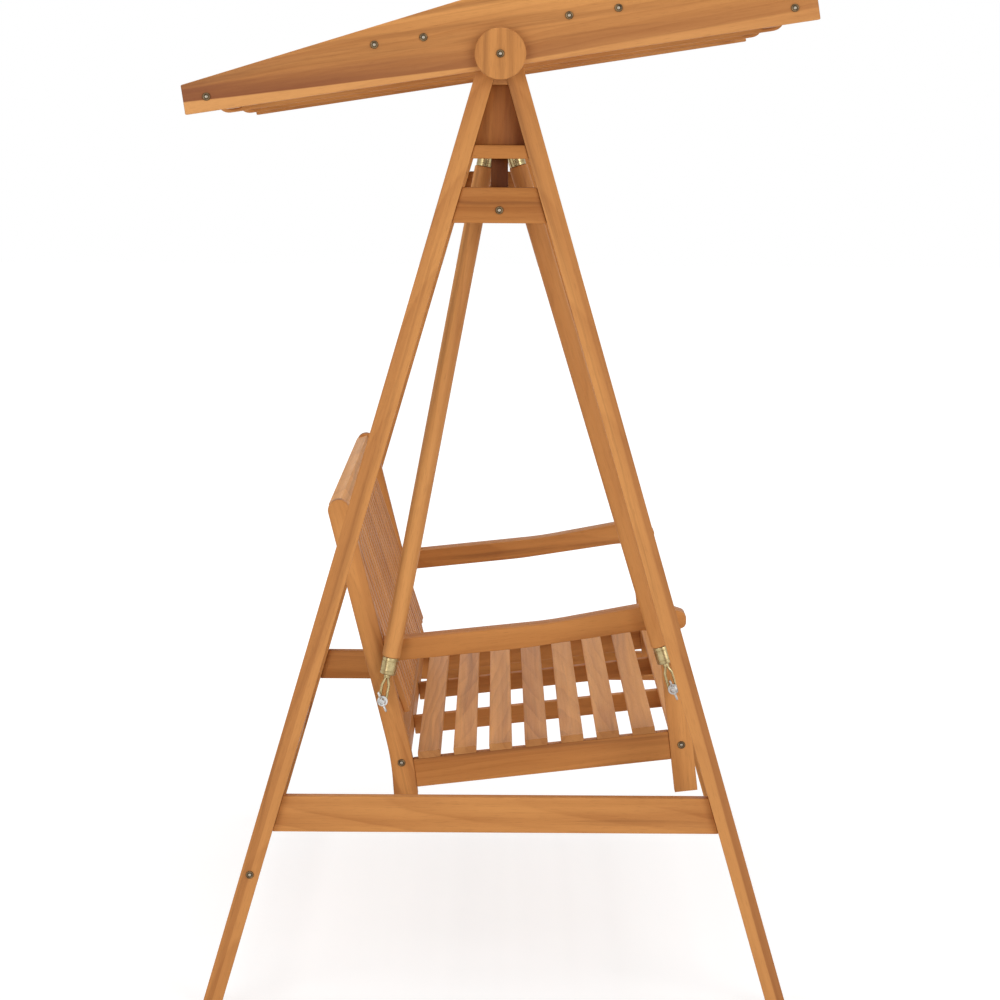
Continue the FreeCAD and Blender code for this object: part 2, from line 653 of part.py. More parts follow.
front_top = lip_height + size("armrest_nose_height") / 2
front_level = (front_foot[1] + front_top) / 2
front_post_outline = rectangle((front_post_back(front_level), front_level), size("front_post_width"),
                               (front_top - front_foot[1]) / math.cos(rake), -size("seat_tilt"))
front_cross_rise = size("seat_rail_height") - size("front_cross_height") / 2
cross_places = {"rear": on_seat(-size("rear_cross_back"), size("rear_cross_rise")),
                "front": on_seat(size("front_cross_along"), front_cross_rise)}
rear_hang = seat_foot + (hollow_height - seat_foot) * size("rear_hang_share")
front_hang = seat_foot + (hollow_height - seat_foot) * size("front_hang_share")
hang_places = {"rear": (post_back(rear_hang) + size("rear_hang_set_back"), rear_hang),
               "front": (front_post_back(front_hang) + size("front_hang_set_back"), front_hang)}
joint_grip = f"{cell('post_thickness')} + {cell('bolt_grip')}"
joint_bolts = []
joint_holes = []
for side, out in sides():
    for place, spot in cross_places.items():
        name = f"{side}_{place}_joint_bolt"
        joint_bolts.append(bolt(name, out * bench_face, out, spot, joint_grip))
        joint_holes.append(rod(name + "_hole", bolt_hole, joint_grip,
                               Vector(out * bench_face, *spot), Vector(-out, 0, 0)))
group("joint_bolts", joint_bolts)
hang_holes = [rod(f"{place}_hang_hole", bolt_hole, cell("bench_length"), Vector(-bench_face, *spot))
              for place, spot in hang_places.items()]

rear_posts = pair("rear_post_blank", rear_post_outline(), cell("post_thickness"), bench_half)
front_posts = pair("front_post_blank", front_post_outline, cell("post_thickness"), bench_half)
armrests = pair("armrest_blank", armrest_outline(), cell("armrest_width"), bench_half)
side_rails = pair("seat_rail_blank",
                  seat_bar(size("front_cross_along") / 2, size("seat_rail_height") / 2,
                           size("front_cross_along"), size("seat_rail_height")),
                  cell("cross_rail_thickness"), f"{bench_half} - {cell('side_rail_inset')}")
for index, (side, out) in enumerate(sides()):
    keep(side + "_rear_post", cut(side + "_rear_post", rear_posts[index], joint_holes + hang_holes))
    keep(side + "_front_post", cut(side + "_front_post", front_posts[index],
                                   joint_holes + hang_holes + [armrests[index]]))
    keep(side + "_armrest", armrests[index])
    keep(side + "_seat_rail", cut(side + "_seat_rail", side_rails[index],
                                  [rear_posts[index], front_posts[index]]))

# Seat and back between the side frames.
between = f"({bench_half} - {cell('post_thickness')})"
cross_heights = {"rear": size("rear_cross_height"), "front": size("front_cross_height")}
for place, spot in cross_places.items():
    name = f"{place}_seat_rail"
    blank = board(name + "_blank", rectangle(spot, size("cross_rail_thickness"), cross_heights[place],
                                             -size("seat_tilt")), f"2 * {between}", f"-{between}")
    keep(name, cut(name, blank, joint_holes))

bearer_start = size("cross_rail_thickness") / 2 - size("rear_cross_back")
bearer_end = size("front_cross_along") - size("cross_rail_thickness") / 2
bearer = seat_bar((bearer_start + bearer_end) / 2, size("seat_rail_height") - size("bearer_height") / 2,
                  bearer_end - bearer_start, size("bearer_height"))
group("seat_bearers", pair("seat_bearer", bearer, cell("cross_rail_thickness"),
                           f"{cell('bearer_place')} + {cell('cross_rail_thickness')} / 2"))

slats = []
long_slat = f"({bench_half} - {cell('side_rail_inset')})"
slat_count = int(size("slat_count"))
slat_pitch = (size("front_cross_along") - size("first_slat_along")) / (slat_count - 1)
for index in range(slat_count):
    half = between if index == slat_count - 1 else long_slat
    section = seat_bar(size("first_slat_along") + index * slat_pitch,
                       size("seat_rail_height") + size("slat_thickness") / 2,
                       size("slat_width"), size("slat_thickness"))
    slats.append(board(f"seat_slat_{index}", section, f"2 * {half}", f"-{half}"))
group("seat_slats", slats)

slat_lean = math.radians(size("slat_lean_angle"))
slat_up = Vector(0, math.sin(slat_lean), math.cos(slat_lean))
slat_ahead = Vector(0, -math.cos(slat_lean), math.sin(slat_lean))
low_level = size("rear_post_foot") + size("low_back_rail_rise")
low_middle = Vector(0, post_back(low_level) - size("low_back_rail_forward"), low_level)
slat_rear = low_middle + slat_ahead * (size("back_rail_thickness") / 2)
rail_span = (size("rear_post_top") - size("top_back_rail_drop") - low_level) / math.cos(slat_lean)
top_middle = slat_rear + slat_ahead * (size("back_slat_thickness") / 2) + slat_up * rail_span
for name, middle in (("top_back_rail", top_middle), ("low_back_rail", low_middle)):
    section = rectangle((middle.y, middle.z), size("back_rail_thickness"), size(name + "_height"),
                        -size("slat_lean_angle"))
    keep(name, board(name, section, f"2 * {between}", f"-{between}"))

slat_foot = slat_rear + slat_ahead * size("back_slat_thickness") - slat_up * (size("low_back_rail_height") / 2)
clear_back = rail_span + (size("low_back_rail_height") - size("top_back_rail_height")) / 2
clear_width = size("bench_length") - 2 * size("armrest_width")
back_slat_count = int(size("back_slat_count"))
back_pitch = clear_width / back_slat_count
back_slats = []
for index in range(back_slat_count):
    slat = doc.addObject("Part::Box", f"back_slat_{index}")
    slat.setExpression("Length", cell("back_slat_width"))
    slat.setExpression("Width", cell("back_slat_thickness"))
    slat.Height = clear_back
    middle = (index + 1 / 2) * back_pitch - clear_width / 2
    slat.Placement = Placement(slat_foot + Vector(middle - size("back_slat_width") / 2, 0, 0),
                               Rotation(Vector(1, 0, 0), -size("slat_lean_angle")))
    back_slats.append(slat)
group("back_slats", back_slats)

# Hang bolts through the posts, each with a spacer, a washer and a wing nut.
eye_plane = bench_face + size("spacer_length") + size("side_play") + size("eye_thickness") / 2
nut_seat = eye_plane + size("eye_thickness") / 2 + size("side_play") + size("washer_thickness")
hang_bolts = []
spacers = []
wing_nuts = []
hang_length = nut_seat + size("wing_hub_height") + size("bolt_head_height") / 2 - bench_face \
    + size("post_thickness")
for side, out in sides():
    for place, spot in hang_places.items():
        name = f"{side}_{place}_hang"
        outward = Vector(out, 0, 0)
        inner = Vector(out * (bench_face - size("post_thickness")), *spot)
        shank = rod(name + "_shank", cell("bolt_radius"), str(hang_length), inner, outward)
        head = rod(name + "_head", cell("hang_head_radius"), cell("hang_head_height"), inner, outward * -1)
        hang_bolts.append(fused(name + "_bolt", [shank, head]))
        hole = rod(name + "_bore", bolt_hole, str(hang_length), inner, outward)
        sleeve = rod(name + "_sleeve", cell("spacer_radius"), cell("spacer_length"),
                     Vector(out * bench_face, *spot), outward)
        spacers.append(cut(name + "_spacer", sleeve, [hole]))
        seat = Vector(out * nut_seat, *spot)
        washer = rod(name + "_washer", cell("hang_washer_radius"), cell("washer_thickness"), seat, outward * -1)
        hub = rod(name + "_hub", cell("wing_hub_radius"), cell("wing_hub_height"), seat, outward)
        wings = doc.addObject("Part::Box", name + "_wings")
        wings.setExpression("Length", cell("wing_height"))
        wings.setExpression("Width", cell("wing_span"))
        wings.setExpression("Height", cell("wing_thickness"))
        wing_start = nut_seat + size("washer_thickness")
        if out < 0:
            wing_start = -wing_start - size("wing_height")
        turn = Rotation(Vector(1, 0, 0), size("wing_turn_angle"))
        corner = turn.multVec(Vector(0, size("wing_span") / 2, size("wing_thickness") / 2))
        wings.Placement = Placement(Vector(wing_start, *spot) - corner, turn)
        wing_nuts.append(cut(name + "_nut", fused(name + "_nut_blank", [washer, hub, wings]), [hole]))
group("hang_bolts", hang_bolts)
group("hang_spacers", spacers)
group("wing_nuts", wing_nuts)

# Hanger brackets under the main beam, with two pins each.
cheek_half = size("hanger_spread") + size("bracket_shoulder")
plate_low = beam_low - size("bracket_plate")
lip = size("bracket_lip")
cheek = outline([(-cheek_half, plate_low, 0), (-cheek_half, hanger_level - lip, lip),
                 (cheek_half, hanger_level - lip, lip), (cheek_half, plate_low, 0)])
plate_section = rectangle((0, beam_low - size("bracket_plate") / 2), 2 * cheek_half, size("bracket_plate"))
slot_half = size("eye_thickness") / 2 + size("eye_side_play")
pin_length = 2 * (slot_half + size("bracket_cheek"))
brackets = []
pins = []
for side, out in sides():
    middle = out * eye_plane
    pieces = [board(side + "_bracket_plate", plate_section, cell("bracket_length"),
                    f"{middle} - {cell('bracket_length')} / 2"),
              board(side + "_inner_cheek", cheek, cell("bracket_cheek"),
                    f"{middle - slot_half} - {cell('bracket_cheek')}"),
              board(side + "_outer_cheek", cheek, cell("bracket_cheek"), str(middle + slot_half))]
    holes = []
    for place, way in (("rear", 1), ("front", -1)):
        base = Vector(middle - pin_length / 2, way * size("hanger_spread"), hanger_level)
        name = f"{side}_{place}_pin"
        holes.append(rod(name + "_hole", f"{cell('hanger_pin_radius')} + {cell('running_fit')}",
                         str(pin_length), base))
        shank = rod(name + "_shank", cell("hanger_pin_radius"), str(pin_length), base)
        first = rod(name + "_first_head", cell("hanger_pin_head_radius"), cell("hanger_pin_head"),
                    base, Vector(-1, 0, 0))
        second = rod(name + "_second_head", cell("hanger_pin_head_radius"), cell("hanger_pin_head"),
                     base + Vector(pin_length, 0, 0))
        pins.append(fused(name, [shank, first, second]))
    brackets.append(cut(side + "_bracket", fused(side + "_bracket_blank", pieces), holes))
group("hanger_brackets", brackets)
group("hanger_pins", pins)


def turned(name, points, placement):
    """Round piece turned about the upright axis from (radius, height, corner radius) points."""
    body = doc.addObject("PartDesign::Body", name)
    sketch = sketch_on(body, "XZ_Plane", outline(points))
    turn = body.newObject("PartDesign::Revolution", name + "_turn")
    turn.Profile = sketch
    turn.ReferenceAxis = (sketch, ["V_Axis"])
    turn.Angle = 360
    body.Placement = placement
    return body


def lower_link(label, foot, angle, play):
    """Flat link from a hang bolt up to a ferrule end, with a slot through its middle."""
    start = str(foot.x - size("eye_thickness") / 2)
    half = size("link_half_width")
    reach = size("link_reach")
    slot_low = size("bolt_radius") + size("link_web")
    slot_high = reach - size("link_web")

    def strip(name, low, high, width):
        """Straight strip of the link's thickness, from low to high above the bolt."""
        rise = (low + high) / 2
        turn = math.radians(angle)
        middle = (foot.y - rise * math.sin(turn), foot.z + rise * math.cos(turn))
        return board(label + name, rectangle(middle, width, high - low, angle), cell("eye_thickness"), start)

    near_face = foot - Vector(size("eye_thickness") / 2, 0, 0)
    end = rod(label + "_end", cell("link_half_width"), cell("eye_thickness"), near_face)
    bore = rod(label + "_bore", f"{cell('bolt_radius')} + {cell(play)}", cell("eye_thickness"), near_face)
    slot = strip("_slot", slot_low, slot_high, size("link_slot_width"))
    return cut(label, fused(label + "_blank", [end, strip("_strip", 0, reach, 2 * half)]), [bore, slot])


def hanger_arm(label, middle, way, spot, play):
    """Round arm from a hanger pin to a hang bolt, with ferrules, an eye above and a link below."""
    top = Vector(middle, way * size("hanger_spread"), hanger_level)
    foot = Vector(middle, *spot)
    angle = math.degrees(math.atan2(foot.y - top.y, top.z - foot.z))
    placement = Placement(top, Rotation(Vector(1, 0, 0), angle))
    top_end = -size("eye_reach")
    low_end = size("link_reach") - (foot - top).Length
    wall = size("ferrule_wall")
    sleeve = size("ferrule_length")
    bore = size("ferrule_radius") - wall
    spigot = bore - size("running_fit")
    round_end = size("arm_shoulder")
    wood = turned(label, [
        (0, top_end - wall, 0), (0, low_end + wall, 0), (spigot, low_end + wall, 0),
        (spigot, low_end + sleeve, 0), (size("arm_radius"), low_end + sleeve, round_end),
        (size("arm_radius"), top_end - sleeve, round_end), (spigot, top_end - sleeve, 0),
        (spigot, top_end - wall, 0)], placement)
    keep(label, wood)
    ferrules = []
    for name, start, step in (("_top_ferrule", top_end, -1), ("_low_ferrule", low_end, 1)):
        floor = start + step * wall
        mouth = start + step * sleeve
        ferrules.append(turned(label + name, [
            (0, start, 0), (0, floor, 0), (bore, floor, 0), (bore, mouth, 0),
            (size("ferrule_radius"), mouth, 0), (size("ferrule_radius"), start, 2 * wall)], placement))
    group(label + "_ferrules", ferrules)
    near_face = top - Vector(size("eye_thickness") / 2, 0, 0)
    ring = rod(label + "_ring", cell("eye_radius"), cell("eye_thickness"), near_face)
    neck = rod(label + "_neck", cell("eye_neck_radius"), cell("eye_reach"), top, foot - top)
    through = rod(label + "_eye_bore", f"{cell('hanger_pin_radius')} + {cell('running_fit')}",
                  cell("eye_thickness"), near_face)
    eye = cut(label + "_eye", fused(label + "_eye_blank", [ring, neck]), [through])
    group(label + "_eyes", [eye, lower_link(label + "_link", foot, angle, play)])


for side, out in sides():
    hanger_arm(side + "_rear_arm", out * eye_plane, 1, hang_places["rear"], "running_fit")
    hanger_arm(side + "_front_arm", out * eye_plane, -1, hang_places["front"], "open_play")

doc.recompute()
for item in doc.Objects:
    if "Invalid" in item.State or "Error" in item.State:
        raise RuntimeError(f"{item.Name} did not compute")
os.makedirs("parts", exist_ok=True)
for label, item in nodes.items():
    if item.Shape.isNull() or not item.Shape.isValid():
        raise RuntimeError(f"{label} has no valid shape")
    item.Shape.exportStep(f"parts/{label}.step")
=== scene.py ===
import json
import math
import zlib

import bmesh
import bpy
import numpy as np
from bpy.props import (
    FloatProperty,
    FloatVectorProperty,
    IntProperty,
    PointerProperty,
)
from mathutils import Matrix, Vector


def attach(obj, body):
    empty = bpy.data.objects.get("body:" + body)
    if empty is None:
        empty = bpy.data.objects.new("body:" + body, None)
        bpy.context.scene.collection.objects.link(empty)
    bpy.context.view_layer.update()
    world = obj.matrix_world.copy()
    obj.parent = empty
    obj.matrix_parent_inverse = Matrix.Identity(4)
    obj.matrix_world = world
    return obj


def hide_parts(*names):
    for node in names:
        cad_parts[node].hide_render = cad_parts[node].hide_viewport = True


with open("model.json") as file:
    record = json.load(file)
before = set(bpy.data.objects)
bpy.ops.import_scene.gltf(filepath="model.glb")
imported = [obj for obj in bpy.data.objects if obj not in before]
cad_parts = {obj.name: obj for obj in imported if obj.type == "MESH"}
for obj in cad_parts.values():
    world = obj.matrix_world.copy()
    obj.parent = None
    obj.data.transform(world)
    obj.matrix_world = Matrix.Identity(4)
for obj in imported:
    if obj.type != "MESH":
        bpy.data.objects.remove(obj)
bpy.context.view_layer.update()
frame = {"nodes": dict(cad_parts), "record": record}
NODES = frame["nodes"]

bl_info = {
    "name": "Garden Swing Bench",
    "version": (1, 0, 0),
    "blender": (4, 5, 0),
    "location": "View3D > Sidebar > Swing",
    "description": "Dresses the packed swing bench in oiled teak, brass and bright steel",
    "category": "Object",
}

MM = 0.001
WELD = 0.02 * MM
SHARP = math.radians(28)
LENGTHWISE = Vector((1, 0, 0))
SLOT_TEAK = "teak"

BEHAVIOUR = frame["record"]["behaviour"]
BODY_OF = {node: body for body, nodes in BEHAVIOUR["bodies"].items() for node in nodes}
JOINT_PLACES = {joint["name"]: joint["pos_m"] for joint in BEHAVIOUR["joints"]}
TEAK_NODES = [
    row["node"] for row in frame["record"]["subparts"] if row["material_slot"] == SLOT_TEAK
]
ARMS = ("left_rear_arm", "right_rear_arm", "left_front_arm", "right_front_arm")
SLAT_ROWS = ("seat_slats", "back_slats")


class TeakLook(bpy.types.PropertyGroup):
    """Colours and figure of the oiled teak"""
    honey: FloatVectorProperty(
        name="Honey", description="Pale early wood between the growth lines",
        subtype="COLOR", size=4, default=(0.610, 0.262, 0.074, 1))
    amber: FloatVectorProperty(
        name="Amber", description="Deeper late wood along the growth lines",
        subtype="COLOR", size=4, default=(0.380, 0.136, 0.034, 1))
    walnut: FloatVectorProperty(
        name="Dark streak", description="Long dark streaks through the boards",
        subtype="COLOR", size=4, default=(0.200, 0.068, 0.020, 1))
    sapwood: FloatVectorProperty(
        name="Sapwood", description="Pale band along one edge of a board",
        subtype="COLOR", size=4, default=(0.640, 0.295, 0.098, 1))
    heartwood: FloatVectorProperty(
        name="Heartwood", description="Red-brown wood beside the pale band",
        subtype="COLOR", size=4, default=(0.235, 0.074, 0.026, 1))
    ring_gap: FloatProperty(
        name="Ring gap", description="Distance between growth lines",
        default=11.5 * MM, unit="LENGTH")
    tone_spread: FloatProperty(
        name="Tone spread", description="How much boards differ in lightness",
        default=0.26, subtype="FACTOR", min=0, max=1)
    satin: FloatProperty(
        name="Satin", description="Roughness of the oiled surface",
        default=0.52, subtype="FACTOR", min=0, max=1)


class MetalLook(bpy.types.PropertyGroup):
    """Colours of the fittings"""
    brass: FloatVectorProperty(
        name="Brass", description="Turned ferrules and eyes",
        subtype="COLOR", size=4, default=(0.48, 0.385, 0.20, 1))
    brass_shade: FloatVectorProperty(
        name="Brass shade", description="Handled and tarnished brass",
        subtype="COLOR", size=4, default=(0.34, 0.265, 0.13, 1))
    bronze: FloatVectorProperty(
        name="Bolt heads", description="Antiqued bolt heads",
        subtype="COLOR", size=4, default=(0.20, 0.135, 0.070, 1))
    bronze_shade: FloatVectorProperty(
        name="Bolt head shade", description="Dark film in the hollows of the bolt heads",
        subtype="COLOR", size=4, default=(0.060, 0.042, 0.026, 1))
    # Lighter colour of the bolt buttons: rubbed wear with a painted highlight.
    worn_glint: FloatVectorProperty(
        name="Worn metal", description="Rubbed middles of the bolt heads",
        subtype="COLOR", size=4, default=(0.34, 0.30, 0.24, 1))
    zinc: FloatVectorProperty(
        name="Zinc", description="Bright plated steel",
        subtype="COLOR", size=4, default=(0.66, 0.66, 0.64, 1))
    zinc_shade: FloatVectorProperty(
        name="Zinc shade", description="Dull patches of the plating",
        subtype="COLOR", size=4, default=(0.36, 0.36, 0.35, 1))


class SwingSizes(bpy.types.PropertyGroup):
    """Sizes of the visual pieces"""
    edge: FloatProperty(
        name="Eased edge", description="Rounding of sawn board edges",
        default=2.2 * MM, unit="LENGTH")
    slat_edge: FloatProperty(
        name="Slat edge", description="Rounding of the slats",
        default=3.0 * MM, unit="LENGTH")
    bolt_radius: FloatProperty(
        name="Bolt head radius", description="Radius of the round bolt heads",
        default=8.0 * MM, unit="LENGTH")
    bolt_height: FloatProperty(
        name="Bolt head height", description="Height of the round bolt heads",
        default=4.0 * MM, unit="LENGTH")
    round_steps: IntProperty(
        name="Round steps", description="Faces round a turned piece",
        default=48, min=12)


class StageLook(bpy.types.PropertyGroup):
    """Camera and light"""
    camera_back: FloatProperty(
        name="Camera distance", description="Camera from the middle of the bench, along its length",
        default=6.8725, unit="LENGTH")
    camera_side: FloatProperty(
        name="Camera side", description="Camera behind the middle plane of the bench",
        default=0.006, unit="LENGTH")
    camera_height: FloatProperty(
        name="Camera height", description="Camera above the floor", default=1.830, unit="LENGTH")
    camera_dip: FloatProperty(
        name="Camera dip", description="Camera below the horizon",
        default=math.radians(7.31), subtype="ANGLE")
    camera_turn: FloatProperty(
        name="Camera turn", description="Camera turned from the length of the bench",
        default=math.radians(-0.105), subtype="ANGLE")
    camera_roll: FloatProperty(
        name="Camera roll", description="Camera turned about its own axis",
        default=math.radians(0.37), subtype="ANGLE")
    lens: FloatProperty(name="Lens", description="Focal length in millimetres", default=108.0)
    world_light: FloatProperty(
        name="World light", description="Strength of the even studio light", default=0.46)


def look(name):
    """One of the property groups of this part."""
    return getattr(bpy.context.scene, "swing_" + name)


class Graph:
    """Short way to add and link the nodes of a material or a geometry tree."""

    def __init__(self, tree):
        self.tree = tree

    def add(self, kind, values=(), **settings):
        """Node with its settings and inputs; an input that is a socket is linked."""
        node = self.tree.nodes.new(kind)
        for key, value in settings.items():
            setattr(node, key, value)
        for key, value in dict(values).items():
            if isinstance(value, bpy.types.NodeSocket):
                self.tree.links.new(value, node.inputs[key])
            else:
                node.inputs[key].default_value = value
        return node

    def link(self, output, node, name):
        self.tree.links.new(output, node.inputs[name])

    def attribute(self, name, output="Fac"):
        return self.add("ShaderNodeAttribute", attribute_name=name).outputs[output]

    def math(self, operation, first, second=0.0):
        return self.add("ShaderNodeMath", {0: first, 1: second}, operation=operation).outputs[0]

    def plus(self, first, second):
        return self.math("ADD", first, second)

    def minus(self, first, second):
        return self.math("SUBTRACT", first, second)

    def times(self, first, second):
        return self.math("MULTIPLY", first, second)

    def vector(self, operation, first, second=(0, 0, 0), output="Vector"):
        node = self.add("ShaderNodeVectorMath", {0: first, 1: second}, operation=operation)
        return node.outputs[output]

    def mix(self, factor, first, second):
        node = self.add("ShaderNodeMix", {0: factor, 6: first, 7: second}, data_type="RGBA")
        return node.outputs[2]

    def noise(self, place, waves, detail, roughness=0.5, output="Fac"):
        """Noise with its own number of waves per metre on each axis."""
        stretched = self.add("ShaderNodeMapping", {"Vector": place, "Scale": waves}).outputs[0]
        return self.add("ShaderNodeTexNoise", {
            "Vector": stretched, "Scale": 1.0, "Detail": detail,
            "Roughness": roughness}).outputs[output]

    def ramp(self, factor, stops):
        """Value that passes through the given (place, value) stops."""
        node = self.add("ShaderNodeValToRGB", {"Fac": factor})
        points = node.color_ramp.elements
        while len(points) < len(stops):
            points.new(0.5)
        for point, (place, value) in zip(points, stops):
            point.position = place
            point.color = (value, value, value, 1)
        return node.outputs[0]

    def bump(self, shader, height, strength, distance):
        node = self.add("ShaderNodeBump", {
            "Strength": strength, "Distance": distance, "Height": height})
        self.link(node.outputs[0], shader, "Normal")


def new_material(name):
    """Empty material with a Principled shader; returns material, graph and shader."""
    material = bpy.data.materials.new(name)
    material.use_nodes = True
    shader = material.node_tree.nodes["Principled BSDF"]
    return material, Graph(material.node_tree), shader


# Noise that figures the teak: waves per metre along, across and through a board, detail and
# roughness.
SWAY_NOISE = (1.3, 9, 9), 3.0, 0.5
FADE_NOISE = (0.9, 20, 20), 3.0, 0.5
BAND_NOISE = (0.45, 24, 24), 2.0, 0.5
FIBRE_NOISE = (4, 230, 230), 5.0, 0.62
STREAK_NOISE = (0.50, 42, 42), 4.0, 0.55
PORE_NOISE = (38, 1100, 1100), 1.0, 0.5
FLAME_NOISE = (1.6, 40, 40), 4.0, 0.6
NOISE_MIDDLE = 0.5

# Stops that turn a noise, or a place on the board, into the strength of a figure.
RING_STOPS = [(0.0, 0.15), (0.35, 0.20), (0.75, 0.65), (0.92, 1.0), (1.0, 0.15)]
FADE_STOPS = [(0.34, 0.05), (0.70, 1.0)]
BAND_STOPS = [(0.34, 0.0), (0.62, 1.0)]
STREAK_STOPS = [(0.55, 0.0), (0.63, 0.40), (0.72, 1.0)]
PORE_STOPS = [(0.60, 0.0), (0.72, 1.0)]
SAP_STOPS = [(0.66, 0.0), (0.70, 1.0)]
HEART_STOPS = [(0.24, 0.0), (0.50, 0.30), (0.72, 0.80), (0.90, 1.0)]

SWAY_REACH = 50 * MM
RING_TAPER = 0.05
RING_SHARE, FIBRE_SHARE, BAND_SHARE, CLEAR_SHARE = 0.52, 0.40, 0.58, 0.24
SAP_WAVER, FLAME_REACH, HEART_SPREAD = 0.30, 1.5, 0.6
HEART_SHARE, SAP_SHARE = 0.86, 0.60
STREAK_SHARE, PORE_SHARE, CUT_SHARE = 0.60, 0.24, 0.50
# Darker boards turn richer and redder: partly the teak's own colour, partly a painted shade tint,
# as wood in shadow looks redder.
DARK_RICHNESS, DARK_REDNESS, SAME_HUE = 0.14, 0.02, 0.5
FIBRE_GLOSS, FIBRE_RELIEF, OIL_SHEEN = 0.22, 0.6, 0.16


def growth_lines(graph, place, ring_gap):
    """Place with a slow sway, and the growth lines round a heart beside the board."""
    bend = graph.noise(place, *SWAY_NOISE, output="Color")
    bend = graph.vector("SUBTRACT", bend, (NOISE_MIDDLE,) * 3)
    sway = graph.vector("MULTIPLY", bend, (0, SWAY_REACH, SWAY_REACH))
    swayed = graph.vector("ADD", place, sway)
    across = graph.vector("MULTIPLY", swayed, (RING_TAPER, 1, 1))
    radius = graph.vector("LENGTH", across, output="Value")
    ring = graph.math("FRACT", graph.math("DIVIDE", radius, ring_gap))
    return swayed, graph.ramp(ring, RING_STOPS)


def pale_edge(graph, colour, swayed, fade, colours):
    """Colour with sapwood along one edge of a board and heartwood beside it; on the head plates the
    heartwood is partly painted shade.
    """
    slant = graph.math("ABSOLUTE", graph.attribute("sap_slant"))
    edge = graph.plus(graph.attribute("sap_at"), slant)
    contrast = graph.attribute("sap_contrast")
    waver = graph.times(graph.minus(fade, NOISE_MIDDLE), SAP_WAVER)
    sap = graph.ramp(graph.plus(edge, waver), SAP_STOPS)
    flame = graph.minus(graph.noise(swayed, *FLAME_NOISE), NOISE_MIDDLE)
    heart = graph.plus(edge, graph.times(flame, FLAME_REACH))
    heart = graph.plus(graph.times(heart, HEART_SPREAD), NOISE_MIDDLE)
    heart = graph.times(graph.ramp(heart, HEART_STOPS), graph.minus(1.0, sap))
    heart = graph.times(heart, graph.times(contrast, HEART_SHARE))
    colour = graph.mix(heart, colour, tuple(colours.heartwood))
    sap = graph.times(sap, graph.times(contrast, SAP_SHARE))
    return graph.mix(sap, colour, tuple(colours.sapwood))


def teak():
    """Oiled teak: growth lines, long dark streaks, fibres and pores that follow each board."""
    ready = bpy.data.materials.get("oiled_teak")
    if ready:
        return ready
    colours = look("teak")
    material, graph, shader = new_material("oiled_teak")
    place = graph.attribute("grain_at", "Vector")
    swayed, ring = growth_lines(graph, place, colours.ring_gap)
    fade = graph.noise(place, *FADE_NOISE)
    ring = graph.times(ring, graph.ramp(fade, FADE_STOPS))
    band = graph.ramp(graph.noise(swayed, *BAND_NOISE), BAND_STOPS)
    fibre = graph.noise(place, *FIBRE_NOISE)
    depth = graph.plus(graph.times(ring, RING_SHARE), graph.times(fibre, FIBRE_SHARE))
    depth = graph.minus(graph.plus(depth, graph.times(band, BAND_SHARE)), CLEAR_SHARE)
    depth = graph.add("ShaderNodeClamp", {"Value": depth}).outputs[0]
    colour = graph.mix(depth, tuple(colours.honey), tuple(colours.amber))
    colour = pale_edge(graph, colour, swayed, fade, colours)
    streak = graph.ramp(graph.noise(swayed, *STREAK_NOISE), STREAK_STOPS)
    pores = graph.ramp(graph.noise(place, *PORE_NOISE), PORE_STOPS)
    cut = graph.attribute("end_grain")
    for figure, share in ((streak, STREAK_SHARE), (pores, PORE_SHARE), (cut, CUT_SHARE)):
        colour = graph.mix(graph.times(figure, share), colour, tuple(colours.walnut))
    # Board tone sets lightness; on the king posts, head plates and far gable it holds painted
    # shade.
    lightness = graph.times(graph.attribute("board_tone_and_shade"), colours.tone_spread)
    lightness = graph.plus(lightness, 1 - colours.tone_spread / 2)
    # Painted shade tint: the darker the board tone, the richer and redder the colour.
    richness = graph.minus(1 + DARK_RICHNESS, graph.times(lightness, DARK_RICHNESS))
    hue = graph.plus(graph.times(lightness, DARK_REDNESS), SAME_HUE - DARK_REDNESS)
    toned = graph.add("ShaderNodeHueSaturation", {
        "Hue": hue, "Saturation": richness, "Value": lightness, "Color": colour})
    graph.link(toned.outputs[0], shader, "Base Color")
    gloss = graph.plus(graph.times(fibre, FIBRE_GLOSS), colours.satin - FIBRE_GLOSS / 2)
    graph.link(gloss, shader, "Roughness")
    relief = graph.minus(graph.times(fibre, FIBRE_RELIEF), pores)
    graph.bump(shader, relief, strength=0.30, distance=0.5 * MM)
    shader.inputs["Specular IOR Level"].default_value = OIL_SHEEN
    return material


FILM_NOISE = (95, 95, 95), 5.0, 0.62
FILM_STOPS = [(0.38, 0.0), (0.66, 1.0)]
SCRATCH_DETAIL, SCRATCH_ROUGHNESS = 3.0, 0.6
SCRATCH_GLOSS, FILM_GLOSS = 0.24, 0.10


def metal(name, bright, shade, roughness, scratches, worn_glint=None):
    """Metal with cloudy tarnish and fine scratches, and another colour on marked places: rubbed
    wear with a painted highlight.
    """
    ready = bpy.data.materials.get(name)
    if ready:
        return ready
    material, graph, shader = new_material(name)
    place = graph.add("ShaderNodeTexCoord").outputs["Object"]
    film = graph.ramp(graph.noise(place, *FILM_NOISE), FILM_STOPS)
    colour = graph.mix(film, tuple(bright), tuple(shade))
    # Lighter colour on marked places: rubbed wear with a painted highlight.
    if worn_glint:
        colour = graph.mix(graph.attribute("wear_and_glint"), colour, tuple(worn_glint))
    graph.link(colour, shader, "Base Color")
    scratch = graph.noise(place, scratches, SCRATCH_DETAIL, SCRATCH_ROUGHNESS)
    gloss = graph.plus(graph.times(scratch, SCRATCH_GLOSS), roughness - SCRATCH_GLOSS / 2)
    gloss = graph.plus(gloss, graph.times(film, FILM_GLOSS))
    graph.link(gloss, shader, "Roughness")
    graph.bump(shader, scratch, strength=0.12, distance=0.2 * MM)
    shader.inputs["Metallic"].default_value = 1.0
    return material


